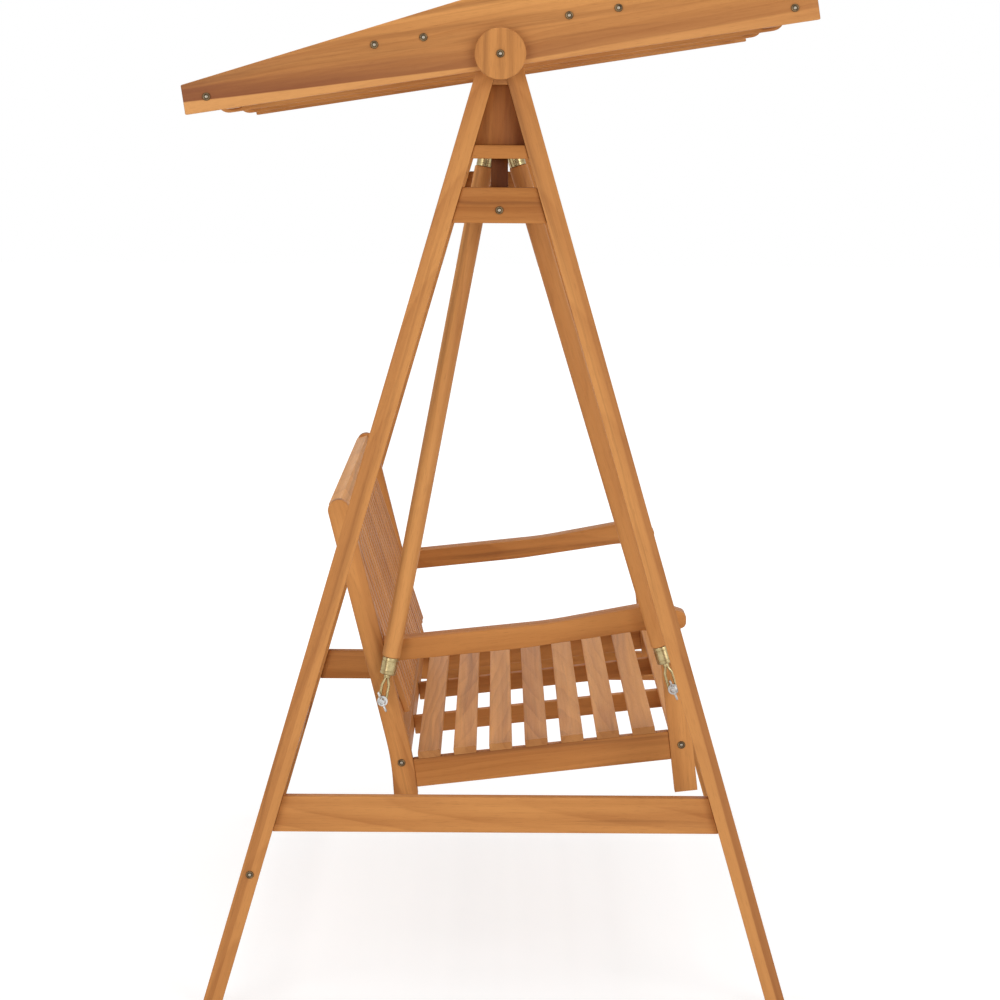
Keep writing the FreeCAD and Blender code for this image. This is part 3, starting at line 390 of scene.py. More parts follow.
def brass():
    """Polished brass with turning marks."""
    colours = look("metal")
    return metal("turned_brass", colours.brass, colours.brass_shade,
                 roughness=0.26, scratches=(160, 160, 1400))


def bronze():
    """Dark bolt metal, lighter on the buttons: rubbed wear with a painted highlight."""
    colours = look("metal")
    return metal("antiqued_bolt_metal", colours.bronze, colours.bronze_shade,
                 roughness=0.42, scratches=(900, 900, 900), worn_glint=colours.worn_glint)


def zinc():
    """Bright plating on steel."""
    colours = look("metal")
    return metal("bright_plated_steel", colours.zinc, colours.zinc_shade,
                 roughness=0.30, scratches=(700, 700, 700))


def seeded(name):
    """Random numbers that depend only on a piece's name."""
    return np.random.default_rng(zlib.crc32(name.encode()))


def islands(mesh):
    """Lists of vertex numbers, one for each separate solid of a mesh."""
    parent = list(range(len(mesh.vertices)))

    def root(index):
        while parent[index] != index:
            parent[index] = parent[parent[index]]
            index = parent[index]
        return index

    for edge in mesh.edges:
        first, second = root(edge.vertices[0]), root(edge.vertices[1])
        if first != second:
            parent[second] = first
    found = {}
    for index in range(len(mesh.vertices)):
        found.setdefault(root(index), []).append(index)
    return [found[key] for key in sorted(found)]


def solids_of(node):
    """Boxes of the separate solids of a CAD node, in the order of their middles."""
    bm = bmesh.new()
    bm.from_mesh(NODES[node].data)
    bmesh.ops.remove_doubles(bm, verts=bm.verts, dist=WELD)
    mesh = bpy.data.meshes.new(node + "_look")
    bm.to_mesh(mesh)
    bm.free()
    points = np.array([vertex.co for vertex in mesh.vertices])
    boxes = [(points[island].min(axis=0), points[island].max(axis=0)) for island in islands(mesh)]
    bpy.data.meshes.remove(mesh)
    return sorted(boxes, key=lambda box: tuple(np.round(box[0] + box[1], 5)))


def ends(low, high):
    """Which way a fitting points along X, and the middles of its outer and inner ends."""
    out = 1 if low[0] + high[0] > 0 else -1
    outer, inner = (high[0], low[0]) if out > 0 else (low[0], high[0])
    middle = (low + high) / 2
    return out, Vector((outer, *middle[1:])), Vector((inner, *middle[1:]))


LEG_LEAN = math.radians(16.2)
CANOPY_TILT = math.radians(8.85)
REAR_LEG_ACROSS = (0, math.cos(LEG_LEAN), math.sin(LEG_LEAN))
FRONT_LEG_ACROSS = (0, -math.cos(LEG_LEAN), math.sin(LEG_LEAN))
GABLE_ACROSS = (0, math.sin(CANOPY_TILT), math.cos(CANOPY_TILT))

# Boards with a pale edge: the way across the board from that edge, the width of the band, how
# fast it widens to the ends, its contrast, and how fast the contrast grows to the rear. A band
# that widens has its width at PALE_EDGE_AT from the middle.
PALE_EDGE_AT = 480 * MM
STRONGEST_CONTRAST = 1.3
PALE_EDGES = {
    # head_plates: the red-brown heartwood here is partly painted shade, redder as wood in shadow
    # looks
    "head_plates": ((0, 1, 0), 110 * MM, 0.83, 0.90, 0.0),
    "left_rear_leg": (REAR_LEG_ACROSS, 60 * MM, 0.0, 0.12, 0.35),
    "right_rear_leg": (REAR_LEG_ACROSS, 44 * MM, 0.0, 0.30, 0.0),
    "left_front_leg": (FRONT_LEG_ACROSS, 80 * MM, 0.0, 0.10, -0.95),
    "right_front_leg": (FRONT_LEG_ACROSS, 46 * MM, 0.0, 0.30, 0.0),
    "left_gable": (GABLE_ACROSS, 60 * MM, 0.53, 0.75, 0.90),
    "right_gable": (GABLE_ACROSS, 24 * MM, 0.0, 0.45, -0.20),
}

# Lightness of boards; the others vary more, about the plain tone.
# Some tones hold painted shade: the king posts, head plates and far (right) gable are darkened as
# if shaded.
BOARD_TONES_AND_SHADE = {
    # king_posts and head_plates: darkened with painted shade of the recess they sit in
    "head_plates": -0.2, "king_posts": -2.7, "head_rails": -0.3,
    "left_upper_rail": -0.25, "right_upper_rail": -0.2,
    "left_lower_rail": 0.75, "right_lower_rail": 0.0,
    "left_canopy_disc": 0.55, "right_canopy_disc": 0.4,
    # right_gable: darkened with painted shade
    "left_gable": 0.8, "right_gable": 0.2,
    "left_rear_arm": 1.1, "left_front_arm": 1.1,
    "right_rear_arm": 0.5, "right_front_arm": 0.5,
    "left_armrest": 0.1, "right_armrest": 0.7,
    "left_rear_post": 0.8, "left_front_post": 1.2, "left_seat_rail": 0.5,
    "top_back_rail": 2.0, "seat_slats": 1.45, "back_slats": 0.9,
}
PLAIN_TONE, PLAIN_VARIATION, SET_VARIATION = 0.5, 1.0, 0.4
# Least and most shift of the grain along, across and through a board, in metres.
LEAST_SHIFT, MOST_SHIFT = (-9, 0.05, 0.02), (9, 0.16, 0.07)
END_CUT = 0.85


def paint(mesh, name, values, kind="FLOAT", domain="POINT"):
    """New attribute of a mesh, with a value for each point or face."""
    field = "vector" if kind == "FLOAT_VECTOR" else "value"
    numbers = np.array(values, dtype=float).ravel()
    mesh.attributes.new(name, kind, domain).data.foreach_set(field, numbers)


def lay_grain(mesh, name, along=None):
    """Gives every board its own grain place and tone, which on some boards holds painted shade; the
    grain runs along the board.
    """
    points = np.empty(len(mesh.vertices) * 3)
    mesh.vertices.foreach_get("co", points)
    points = points.reshape(-1, 3)
    grain = np.zeros_like(points)
    along_board = np.zeros_like(points)
    tones = np.zeros(len(points))
    variation = SET_VARIATION if name in BOARD_TONES_AND_SHADE else PLAIN_VARIATION
    random = seeded(name)
    for island in islands(mesh):
        board = points[island]
        middle = (board.min(axis=0) + board.max(axis=0)) / 2
        if along is None:
            axes = np.linalg.eigh(np.cov((board - middle).T))[1][:, ::-1].T
        else:
            axes = np.roll(np.eye(3), -along, axis=0)
        shift = random.uniform(LEAST_SHIFT, MOST_SHIFT)
        shift[1] *= random.choice((-1, 1))
        grain[island] = (board - middle) @ axes.T + shift
        tone = BOARD_TONES_AND_SHADE.get(name, PLAIN_TONE)
        tones[island] = tone + random.uniform(-0.5, 0.5) * variation
        along_board[island] = axes[0]
    paint(mesh, "grain_at", grain, "FLOAT_VECTOR")
    paint(mesh, "board_tone_and_shade", tones)
    if name in PALE_EDGES:
        across, width, widening, contrast, rise = PALE_EDGES[name]
        place = points @ np.array(across)
        rear = points[:, 1]
        paint(mesh, "sap_at", 1 - (place - place.min()) / width - widening * PALE_EDGE_AT)
        paint(mesh, "sap_slant", widening * rear)
        paint(mesh, "sap_contrast", np.clip(contrast + rise * rear, 0, STRONGEST_CONTRAST))
    cut = [abs(np.dot(face.normal, along_board[face.vertices[0]])) > END_CUT
           for face in mesh.polygons]
    paint(mesh, "end_grain", cut, domain="FACE")


def show(name, mesh, material, body, nodes):
    """Finished piece: named, coloured, riding on its body and standing for its nodes."""
    if not mesh.polygons:
        raise RuntimeError(name + " has no faces")
    piece = bpy.data.objects.new(name, mesh)
    bpy.context.scene.collection.objects.link(piece)
    mesh.materials.clear()
    mesh.materials.append(material)
    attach(piece, body)
    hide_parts(*nodes)


def plain_mesh(source, name):
    """Mesh of an object with its modifiers applied; the object itself goes."""
    bpy.context.view_layer.update()
    seen = source.evaluated_get(bpy.context.evaluated_depsgraph_get())
    mesh = bpy.data.meshes.new_from_object(seen)
    mesh.name = name
    bpy.data.objects.remove(source)
    return mesh


SMALL_LOOP = 24 * MM
SAME_PLANE = 0.99999
COVER_SHARE, COVER_AREA = 1.002, 1e-6
NEARLY_FLAT = math.radians(0.4)


def spread(first, neighbours):
    """Everything that can be reached from a first item through its neighbours."""
    found, front = {first}, [first]
    while front:
        for other in neighbours(front.pop()):
            if other not in found:
                found.add(other)
                front.append(other)
    return found


def ease_edges(bm, layer):
    """Marks sharp edges for rounding, apart from the small rings round bolt holes."""
    sharp = {edge for edge in bm.edges
             if len(edge.link_faces) == 2 and edge.calc_face_angle(0) > SHARP}

    def joined(edge):
        return [other for corner in edge.verts for other in corner.link_edges if other in sharp]

    while sharp:
        ring = spread(next(iter(sharp)), joined)
        sharp -= ring
        places = np.array([corner.co for edge in ring for corner in edge.verts])
        if np.ptp(places, axis=0).max() > SMALL_LOOP:
            for edge in ring:
                edge[layer] = 1.0


def crossed_faces(bm):
    """Faces whose outline runs over itself: their triangles cover more than the face."""
    covered = dict.fromkeys(bm.faces, 0.0)
    for corners in bm.calc_loop_triangles():
        first, second, third = (corner.vert.co for corner in corners)
        covered[corners[0].face] += (second - first).cross(third - first).length / 2
    return [face for face in bm.faces
            if covered[face] > face.calc_area() * COVER_SHARE + COVER_AREA]


def refill_flats(mesh):
    """Fills crossed flat sides of a board again, round their notches and holes."""
    bm = bmesh.new()
    bm.from_mesh(mesh)
    crossed = crossed_faces(bm)
    while crossed:
        normal = crossed[0].normal.copy()

        def level(face):
            return [other for edge in face.edges for other in edge.link_faces
                    if other.normal.dot(normal) > SAME_PLANE]

        side = spread(crossed[0], level)
        crossed = [face for face in crossed if face not in side]
        rim = [edge for edge in bm.edges if sum(face in side for face in edge.link_faces) == 1]
        old = [face for face in bm.faces if face in side]
        bmesh.ops.delete(bm, geom=old, context="FACES_KEEP_BOUNDARY")
        filled = bmesh.ops.triangle_fill(bm, use_beauty=True, edges=rim, normal=normal)
        for item in filled["geom"]:
            if isinstance(item, bmesh.types.BMFace):
                item.smooth = False
    bm.to_mesh(mesh)
    bm.free()


def smooth_below_sharp(bm, eased=None):
    """Smooth shading, apart from sharp edges that no weight in a layer will round."""
    for face in bm.faces:
        face.smooth = True
    for edge in bm.edges:
        edge.smooth = (len(edge.link_faces) != 2 or edge.calc_face_angle(0) < SHARP
                       or (eased is not None and edge[eased] > 0))


def eased_board(node, edge):
    """Copy of a CAD board with rounded edges and flat faces."""
    mesh = NODES[node].data.copy()
    bm = bmesh.new()
    bm.from_mesh(mesh)
    bmesh.ops.remove_doubles(bm, verts=bm.verts, dist=WELD)
    bmesh.ops.dissolve_limit(bm, angle_limit=NEARLY_FLAT, verts=bm.verts, edges=bm.edges)
    layer = bm.edges.layers.float.new("bevel_weight_edge")
    ease_edges(bm, layer)
    smooth_below_sharp(bm, layer)
    bm.to_mesh(mesh)
    bm.free()
    holder = bpy.data.objects.new(node + "_blank", mesh)
    bpy.context.scene.collection.objects.link(holder)
    bevel = holder.modifiers.new("eased", "BEVEL")
    bevel.limit_method = "WEIGHT"
    bevel.width = edge
    bevel.segments = 2
    bevel.loop_slide = False
    bevel.harden_normals = True
    bevel.use_clamp_overlap = True
    board = plain_mesh(holder, node + "_board")
    refill_flats(board)
    return board


def closed_mesh(bm, name):
    """Mesh from a bmesh, smooth, with its faces pointing outwards."""
    bmesh.ops.recalc_face_normals(bm, faces=bm.faces)
    smooth_below_sharp(bm)
    mesh = bpy.data.meshes.new(name)
    bm.to_mesh(mesh)
    bm.free()
    return mesh


def dress_boards(nodes, along=None):
    """Eased teak boards in place of the CAD boards."""
    for node in nodes:
        mesh = eased_board(node, look("sizes").edge)
        lay_grain(mesh, node, along)
        show(node + "_board", mesh, teak(), BODY_OF[node], [node])


def wood_of(body):
    """Sawn boards of one body; turned arms and slat rows are made on their own."""
    return [node for node in TEAK_NODES if BODY_OF[node] == body and node not in SLAT_ROWS + ARMS]


def lathe(bm, profile, start, axis, steps):
    """Turns a profile of (radius, distance) points about an axis."""
    axis = axis.normalized()
    side = axis.orthogonal().normalized()
    other = axis.cross(side)
    turns = [2 * math.pi * step / steps for step in range(steps)]
    rings = []
    for radius, distance in profile:
        centre = start + axis * distance
        spots = [centre]
        if radius:
            spots = [centre + (side * math.cos(turn) + other * math.sin(turn)) * radius
                     for turn in turns]
        rings.append([bm.verts.new(spot) for spot in spots])
    for first, second in zip(rings, rings[1:]):
        for step in range(steps):
            after = (step + 1) % steps
            corners = [first[step % len(first)], first[after % len(first)],
                       second[after % len(second)], second[step % len(second)]]
            corners = list(dict.fromkeys(corners))
            if len(corners) > 2:
                bm.faces.new(corners)


def rounded(radius, start, end, round_start, round_end, steps=5):
    """Profile of a rod from start to end with rounded rims."""
    turns = [math.pi / 2 * step / steps for step in range(steps + 1)]
    points = [(0, start)]
    points += [(radius - round_start * (1 - math.sin(turn)),
                start + round_start * (1 - math.cos(turn))) for turn in turns]
    points += [(radius - round_end * (1 - math.cos(turn)),
                end - round_end * (1 - math.sin(turn))) for turn in turns]
    return points + [(0, end)]


ARM_RADIUS, ARM_RIM = 19.0 * MM, 4.0 * MM
FERRULE_LENGTH, FERRULE_RADIUS = 37.0 * MM, 17.0 * MM
FERRULE_CORNER, FERRULE_MOUTH = 3.0 * MM, 1.2 * MM
GROOVE_DEPTH, GROOVE_HALF, GROOVE_PLACES = 0.5 * MM, 0.9 * MM, (0.22, 0.80)
EYE_REACH, EYE_RADIUS, EYE_THICKNESS, EYE_RIM = 24.0 * MM, 16.0 * MM, 6.0 * MM, 2.0 * MM
NECK_RADIUS, NECK_COLLAR = 2.6 * MM, 5.2 * MM
PIN_BORE = 4.05 * MM
HANG_BORES = {"rear": 4.05 * MM, "front": 5.2 * MM}
LINK_REACH, LINK_STRAIGHT, LINK_DRAWN = 58.0 * MM, 0.55, 0.30
LINK_END = 2.0 * MM
WIRE_RADIUS, WIRE_STEPS = 2.9 * MM, 16
COLLAR_RADIUS, COLLAR_LENGTH = 7.0 * MM, 8.0 * MM
COLLAR_LOW_RIM, COLLAR_HIGH_RIM = 1.2 * MM, 0.4 * MM
NECK_STEPS = 24


def pivots(arm):
    """Hanger pin and hang bolt of an arm, from its joint and from the bolts of the bench."""
    top = Vector(JOINT_PLACES["swing_" + arm.removesuffix("_arm")])
    for low, high in solids_of("hang_bolts"):
        middle = (low + high) / 2
        if middle[0] * top.x > 0 and middle[1] * top.y > 0:
            return top, Vector((top.x, middle[1], middle[2]))
    raise RuntimeError("no hang bolt for " + arm)


class SWING_OT_stand(bpy.types.Operator):
    """Eased teak boards of the A-frame stand"""
    bl_idname = "swing.stand"
    bl_label = "Stand boards"

    def execute(self, context):
        dress_boards(wood_of("stand"))
        return {"FINISHED"}


class SWING_OT_canopy(bpy.types.Operator):
    """Eased teak boards of the canopy frame, with its turned discs"""
    bl_idname = "swing.canopy"
    bl_label = "Canopy boards"

    def execute(self, context):
        discs = ["left_canopy_disc", "right_canopy_disc"]
        dress_boards([node for node in wood_of("canopy") if node not in discs])
        dress_boards(discs, along=2)
        return {"FINISHED"}


class SWING_OT_bench(bpy.types.Operator):
    """Eased teak boards of the bench frame"""
    bl_idname = "swing.bench"
    bl_label = "Bench boards"

    def execute(self, context):
        dress_boards(wood_of("bench"))
        return {"FINISHED"}


class SWING_OT_arms(bpy.types.Operator):
    """Turned teak arms between the hangers and the bench"""
    bl_idname = "swing.arms"
    bl_label = "Round arms"

    def execute(self, context):
        for arm in ARMS:
            top, foot = pivots(arm)
            axis = foot - top
            start = EYE_REACH + FERRULE_LENGTH
            end = axis.length - LINK_REACH - FERRULE_LENGTH
            bm = bmesh.new()
            profile = rounded(ARM_RADIUS, start, end, ARM_RIM, ARM_RIM)
            lathe(bm, profile, top, axis, look("sizes").round_steps)
            mesh = closed_mesh(bm, arm + "_pole")
            lay_grain(mesh, arm)
            show(arm + "_pole", mesh, teak(), BODY_OF[arm], [arm])
        return {"FINISHED"}


class SWING_OT_ferrules(bpy.types.Operator):
    """Turned brass ferrules with a rolled rim and two grooves"""
    bl_idname = "swing.ferrules"
    bl_label = "Ferrules"

    def execute(self, context):
        for arm in ARMS:
            top, foot = pivots(arm)
            bm = bmesh.new()
            for start, end, reach in ((top, foot, EYE_REACH), (foot, top, LINK_REACH)):
                lathe(bm, self.profile(reach), start, end - start, look("sizes").round_steps)
            node = arm + "_ferrules"
            mesh = closed_mesh(bm, node + "_turned")
            show(node + "_turned", mesh, brass(), BODY_OF[node], [node])
        return {"FINISHED"}

    def profile(self, start):
        """Closed end, rounded corner, two shallow grooves and a rolled mouth."""
        end = start + FERRULE_LENGTH
        points = rounded(FERRULE_RADIUS, start, end, FERRULE_CORNER, FERRULE_MOUTH)
        wall = len(points) // 2
        bottom = FERRULE_RADIUS - GROOVE_DEPTH
        grooves = []
        for share in GROOVE_PLACES:
            middle = start + FERRULE_LENGTH * share
            grooves += [
                (FERRULE_RADIUS, middle - GROOVE_HALF), (bottom, middle - GROOVE_HALF / 3),
                (bottom, middle + GROOVE_HALF / 3), (FERRULE_RADIUS, middle + GROOVE_HALF)]
        return points[:wall] + grooves + points[wall:]


def wire(bm, path):
    """Closed round wire along points that lie in one plane across X."""
    turns = [2 * math.pi * step / WIRE_STEPS for step in range(WIRE_STEPS)]
    rings = []
    for index, point in enumerate(path):
        along = (path[(index + 1) % len(path)] - path[index - 1]).normalized()
        side = along.cross(LENGTHWISE)
        spokes = [side * math.cos(turn) + LENGTHWISE * math.sin(turn) for turn in turns]
        rings.append([bm.verts.new(point + spoke * WIRE_RADIUS) for spoke in spokes])
    for index, ring in enumerate(rings):
        last = rings[index - 1]
        for step in range(WIRE_STEPS):
            after = (step + 1) % WIRE_STEPS
            bm.faces.new((last[step], last[after], ring[after], ring[step]))


class SWING_OT_eyes(bpy.types.Operator):
    """Brass eye at the top of each arm and a long wire link at its foot"""
    bl_idname = "swing.eyes"
    bl_label = "Eyes and links"

    def execute(self, context):
        for arm in ARMS:
            top, foot = pivots(arm)
            bore = HANG_BORES["rear" if "rear" in arm else "front"]
            bm = bmesh.new()
            self.eye(bm, top, foot)
            self.link(bm, foot, (top - foot).normalized(), bore)
            bmesh.ops.remove_doubles(bm, verts=bm.verts, dist=WELD)
            node = arm + "_eyes"
            mesh = closed_mesh(bm, node + "_forged")
            show(node + "_forged", mesh, brass(), BODY_OF[node], [node])
        return {"FINISHED"}

    def eye(self, bm, centre, far):
        """Ring with rounded rims on a short neck with a collar."""
        half = EYE_THICKNESS / 2
        bevel = EYE_RIM / 3
        ring = [(PIN_BORE, bevel - half), (PIN_BORE + bevel, -half)]
        ring += [
            (EYE_RADIUS - EYE_RIM * (1 - math.sin(turn)), EYE_RIM * (1 - math.cos(turn)) - half)
            for turn in np.linspace(0, math.pi / 2, 5)]
        ring += [(radius, -place) for radius, place in reversed(ring)]
        lathe(bm, ring + ring[:1], centre, LENGTHWISE, look("sizes").round_steps)
        root, shoulder = EYE_RADIUS - EYE_RIM, EYE_REACH - EYE_RIM
        neck = [(0, root), (NECK_RADIUS, root), (NECK_RADIUS, shoulder), (NECK_COLLAR, shoulder),
                (NECK_COLLAR, EYE_REACH), (0, EYE_REACH)]
        lathe(bm, neck, centre, far - centre, NECK_STEPS)

    def link(self, bm, foot, up, bore):
        """Wire loop round the hang bolt, drawn together in a collar under the ferrule."""
        side = LENGTHWISE.cross(up)
        bend = bore + WIRE_RADIUS + WELD
        neck = WIRE_RADIUS + WELD
        spots = [(bend * math.cos(turn), bend * math.sin(turn))
                 for turn in np.linspace(math.pi, 2 * math.pi, 17)]
        half = []
        for share in np.linspace(0, 1, 9):
            drawn = share * share * (3 - 2 * share)
            height = LINK_REACH * (LINK_STRAIGHT + LINK_DRAWN * share)
            half.append((bend + (neck - bend) * drawn, height))
        half.append((neck, LINK_REACH - LINK_END))
        spots += half + [(-across, height) for across, height in reversed(half)]
        wire(bm, [foot + side * across + up * height for across, height in spots])
        collar = rounded(COLLAR_RADIUS, LINK_REACH - COLLAR_LENGTH, LINK_REACH,
                         COLLAR_LOW_RIM, COLLAR_HIGH_RIM)
        lathe(bm, collar, foot, up, NECK_STEPS)


def tree_with(name, sockets):
    """Geometry tree with named inputs and one geometry output."""
    tree = bpy.data.node_groups.new(name, "GeometryNodeTree")
    tree.interface.new_socket("Geometry", in_out="INPUT", socket_type="NodeSocketGeometry")
    for label, kind in sockets:
        tree.interface.new_socket(label, in_out="INPUT", socket_type=kind)
    tree.interface.new_socket("Geometry", in_out="OUTPUT", socket_type="NodeSocketGeometry")
    graph = Graph(tree)
    return tree, graph, graph.add("NodeGroupInput"), graph.add("NodeGroupOutput")


def finish_row(graph, placed, source, result):
    """Turns placed instances into plain faces with the finish of their row."""
    real = graph.add("GeometryNodeRealizeInstances", {"Geometry": placed.outputs[0]})
    dressed = graph.add("GeometryNodeSetMaterial", {
        "Geometry": real.outputs[0], "Material": source.outputs["Finish"]})
    graph.link(dressed.outputs[0], result, "Geometry")


def slat_row_tree():
    """Rounded slats at the points of a mesh: each as long as its point says."""
    tree, graph, source, result = tree_with("slat_row", [
        ("Slat Width", "NodeSocketFloat"), ("Slat Thickness", "NodeSocketFloat"),
        ("Edge Radius", "NodeSocketFloat"), ("Turn", "NodeSocketVector"),
        ("Finish", "NodeSocketMaterial")])
    section = graph.add("GeometryNodeCurvePrimitiveQuadrilateral", {
        "Width": source.outputs["Slat Width"], "Height": source.outputs["Slat Thickness"]})
    soft = graph.add("GeometryNodeFilletCurve", {
        "Curve": section.outputs[0], "Radius": source.outputs["Edge Radius"], "Count": 4},
        mode="POLY")
    line = graph.add("GeometryNodeCurvePrimitiveLine", {"Start": (-0.5, 0, 0), "End": (0.5, 0, 0)})
    slat = graph.add("GeometryNodeCurveToMesh", {
        "Curve": line.outputs[0], "Profile Curve": soft.outputs[0], "Fill Caps": True})
    length = graph.add(
        "GeometryNodeInputNamedAttribute", {"Name": "slat_length"}, data_type="FLOAT")
    scale = graph.add("ShaderNodeCombineXYZ", {"X": length.outputs[0], "Y": 1.0, "Z": 1.0})
    placed = graph.add("GeometryNodeInstanceOnPoints", {
        "Points": source.outputs["Geometry"], "Instance": slat.outputs[0],
        "Rotation": source.outputs["Turn"], "Scale": scale.outputs[0]})
    finish_row(graph, placed, source, result)
    return tree


def grown(name, points, attributes, tree, values):
    """Plain mesh that a geometry tree makes from points with attributes."""
    mesh = bpy.data.meshes.new(name + "_points")
    mesh.from_pydata([tuple(point) for point in points], [], [])
    for label, (kind, data) in attributes.items():
        paint(mesh, label, data, kind)
    holder = bpy.data.objects.new(name + "_points", mesh)
    modifier = holder.modifiers.new("grow", "NODES")
    modifier.node_group = tree
    sockets = {item.name: item.identifier for item in tree.interface.items_tree
               if item.in_out == "INPUT"}
    for label, value in values.items():
        modifier[sockets[label]] = value
    bpy.context.scene.collection.objects.link(holder)
    return plain_mesh(holder, name)


SEAT_TILT = math.radians(6.7)
BACK_ANGLE = math.radians(18.4)
SEAT_SLAT = (48 * MM, 15 * MM)
BACK_SLAT = (36 * MM, 12 * MM)


class SWING_OT_slats(bpy.types.Operator):
    """Rows of seat slats and back slats"""
    bl_idname = "swing.slats"
    bl_label = "Slats"

    def execute(self, context):
        tree = slat_row_tree()
        rise, run = math.cos(BACK_ANGLE), math.sin(BACK_ANGLE)
        seat_turn = Matrix.Rotation(-SEAT_TILT, 3, "X").to_euler()
        back_turn = Matrix(((0, 1, 0), (run, 0, rise), (rise, 0, -run))).to_euler()
        boxes = solids_of("seat_slats")
        lengths = [high[0] - low[0] for low, high in boxes]
        self.row("seat_slats", tree, boxes, lengths, SEAT_SLAT, seat_turn)
        boxes = solids_of("back_slats")
        lengths = [(high[2] - low[2] - BACK_SLAT[1] * run) / rise for low, high in boxes]
        self.row("back_slats", tree, boxes, lengths, BACK_SLAT, back_turn)
        return {"FINISHED"}

    def row(self, node, tree, boxes, lengths, section, turn):
        """One row, where the CAD slats are."""
        points = [(low + high) / 2 for low, high in boxes]
        values = {"Slat Width": section[0], "Slat Thickness": section[1],
                  "Edge Radius": look("sizes").slat_edge, "Turn": tuple(turn), "Finish": teak()}
        mesh = grown(node + "_row", points, {"slat_length": ("FLOAT", lengths)}, tree, values)
        for polygon in mesh.polygons:
            polygon.use_smooth = True
        mesh.set_sharp_from_angle(angle=SHARP)
        lay_grain(mesh, node)
        show(node + "_row", mesh, teak(), BODY_OF[node], [node])


# Side of a bolt head, as shares of its radius and height, up from its seat.
HEAD_SHARES = [
    (1.00, 0.00), (1.00, 0.42), (0.97, 0.66), (0.90, 0.86), (0.80, 0.97), (0.70, 1.00),
    (0.62, 0.94), (0.54, 0.74), (0.46, 0.60), (0.41, 0.60), (0.38, 0.78), (0.30, 0.90),
    (0.16, 0.96), (0.00, 0.98)]
BUTTON_SHARE, SEAT_SHARE = 0.39, 0.6
HEAD_STEPS = 36
PIVOT_RADIUS, PIVOT_NUT = 5.0 * MM, 10.0 * MM
PIVOT_WASHER, PIVOT_WASHER_RADIUS, PIVOT_WASHER_DEPTH = 1.5 * MM, 20.0 * MM, 50.0 * MM


def head_profile():
    """Side of a round head with a dished ring and a button."""
    sizes = look("sizes")
    return [(across * sizes.bolt_radius, up * sizes.bolt_height) for across, up in HEAD_SHARES]


def brighten_buttons(mesh, axis, middles):
    """Marks the buttons of bolt heads, near the given middles, lighter: rubbed wear with a painted
    highlight.
    """
    near = look("sizes").bolt_radius * BUTTON_SHARE
    wear_and_glint = []
    for vertex in mesh.vertices:
        away = []
        for middle in middles:
            gap = vertex.co - middle
            depth = abs(gap[axis]) - near
            gap[axis] = 0
            away.append(max(gap.length, depth))
        wear_and_glint.append(min(away) < near)
    paint(mesh, "wear_and_glint", wear_and_glint)


def bolt_head_mesh():
    """Round bolt head along Z from its seat."""
    sizes = look("sizes")
    profile = [(sizes.bolt_radius * SEAT_SHARE, 0)] + head_profile()
    bm = bmesh.new()
    lathe(bm, profile, Vector(), Vector((0, 0, 1)), HEAD_STEPS)
    mesh = closed_mesh(bm, "bolt_head_shape")
    brighten_buttons(mesh, 2, [Vector((0, 0, sizes.bolt_height))])
    return mesh


def pivot_bolts_mesh():
    """Canopy pivot bolts: head, shank, washer and nut in one turning each."""
    height = look("sizes").bolt_height
    washer_end = PIVOT_WASHER_DEPTH + PIVOT_WASHER
    bm = bmesh.new()
    middles = []
    for low, high in solids_of("pivot_bolts"):
        out, outer, inner = ends(low, high)
        axis = LENGTHWISE * out
        seat = outer - axis * height
        nut = (seat - inner).length
        back = [
            (0, -nut), (PIVOT_NUT, -nut), (PIVOT_NUT, height - nut), (PIVOT_RADIUS, height - nut),
            (PIVOT_RADIUS, -washer_end), (PIVOT_WASHER_RADIUS, -washer_end),
            (PIVOT_WASHER_RADIUS, -PIVOT_WASHER_DEPTH), (PIVOT_RADIUS, -PIVOT_WASHER_DEPTH),
            (PIVOT_RADIUS, 0)]
        lathe(bm, back + head_profile(), seat, axis, HEAD_STEPS)
        middles.append(outer)
    mesh = closed_mesh(bm, "pivot_bolts_turned")
    brighten_buttons(mesh, 0, middles)
    return mesh


def head_tree():
    """One head at every point, standing along the direction that its point holds."""
    tree, graph, source, result = tree_with("head_row", [
        ("Head", "NodeSocketObject"), ("Size", "NodeSocketFloat"),
        ("Finish", "NodeSocketMaterial")])
    shape = graph.add("GeometryNodeObjectInfo", {"Object": source.outputs["Head"]})
    facing = graph.add(
        "GeometryNodeInputNamedAttribute", {"Name": "facing"}, data_type="FLOAT_VECTOR")
    turned = graph.add(
        "FunctionNodeAlignRotationToVector", {"Vector": facing.outputs[0]}, axis="Z")
    spin = graph.add("GeometryNodeInputNamedAttribute", {"Name": "spin"}, data_type="FLOAT")
    twist = graph.add("FunctionNodeAxisAngleToRotation", {
        "Axis": (0, 0, 1), "Angle": spin.outputs[0]})
    both = graph.add("FunctionNodeRotateRotation", {
        "Rotation": turned.outputs[0], "Rotate By": twist.outputs[0]}, rotation_space="LOCAL")
    placed = graph.add("GeometryNodeInstanceOnPoints", {
        "Points": source.outputs["Geometry"], "Instance": shape.outputs["Geometry"],
        "Rotation": both.outputs[0], "Scale": source.outputs["Size"]})
    finish_row(graph, placed, source, result)
    return tree


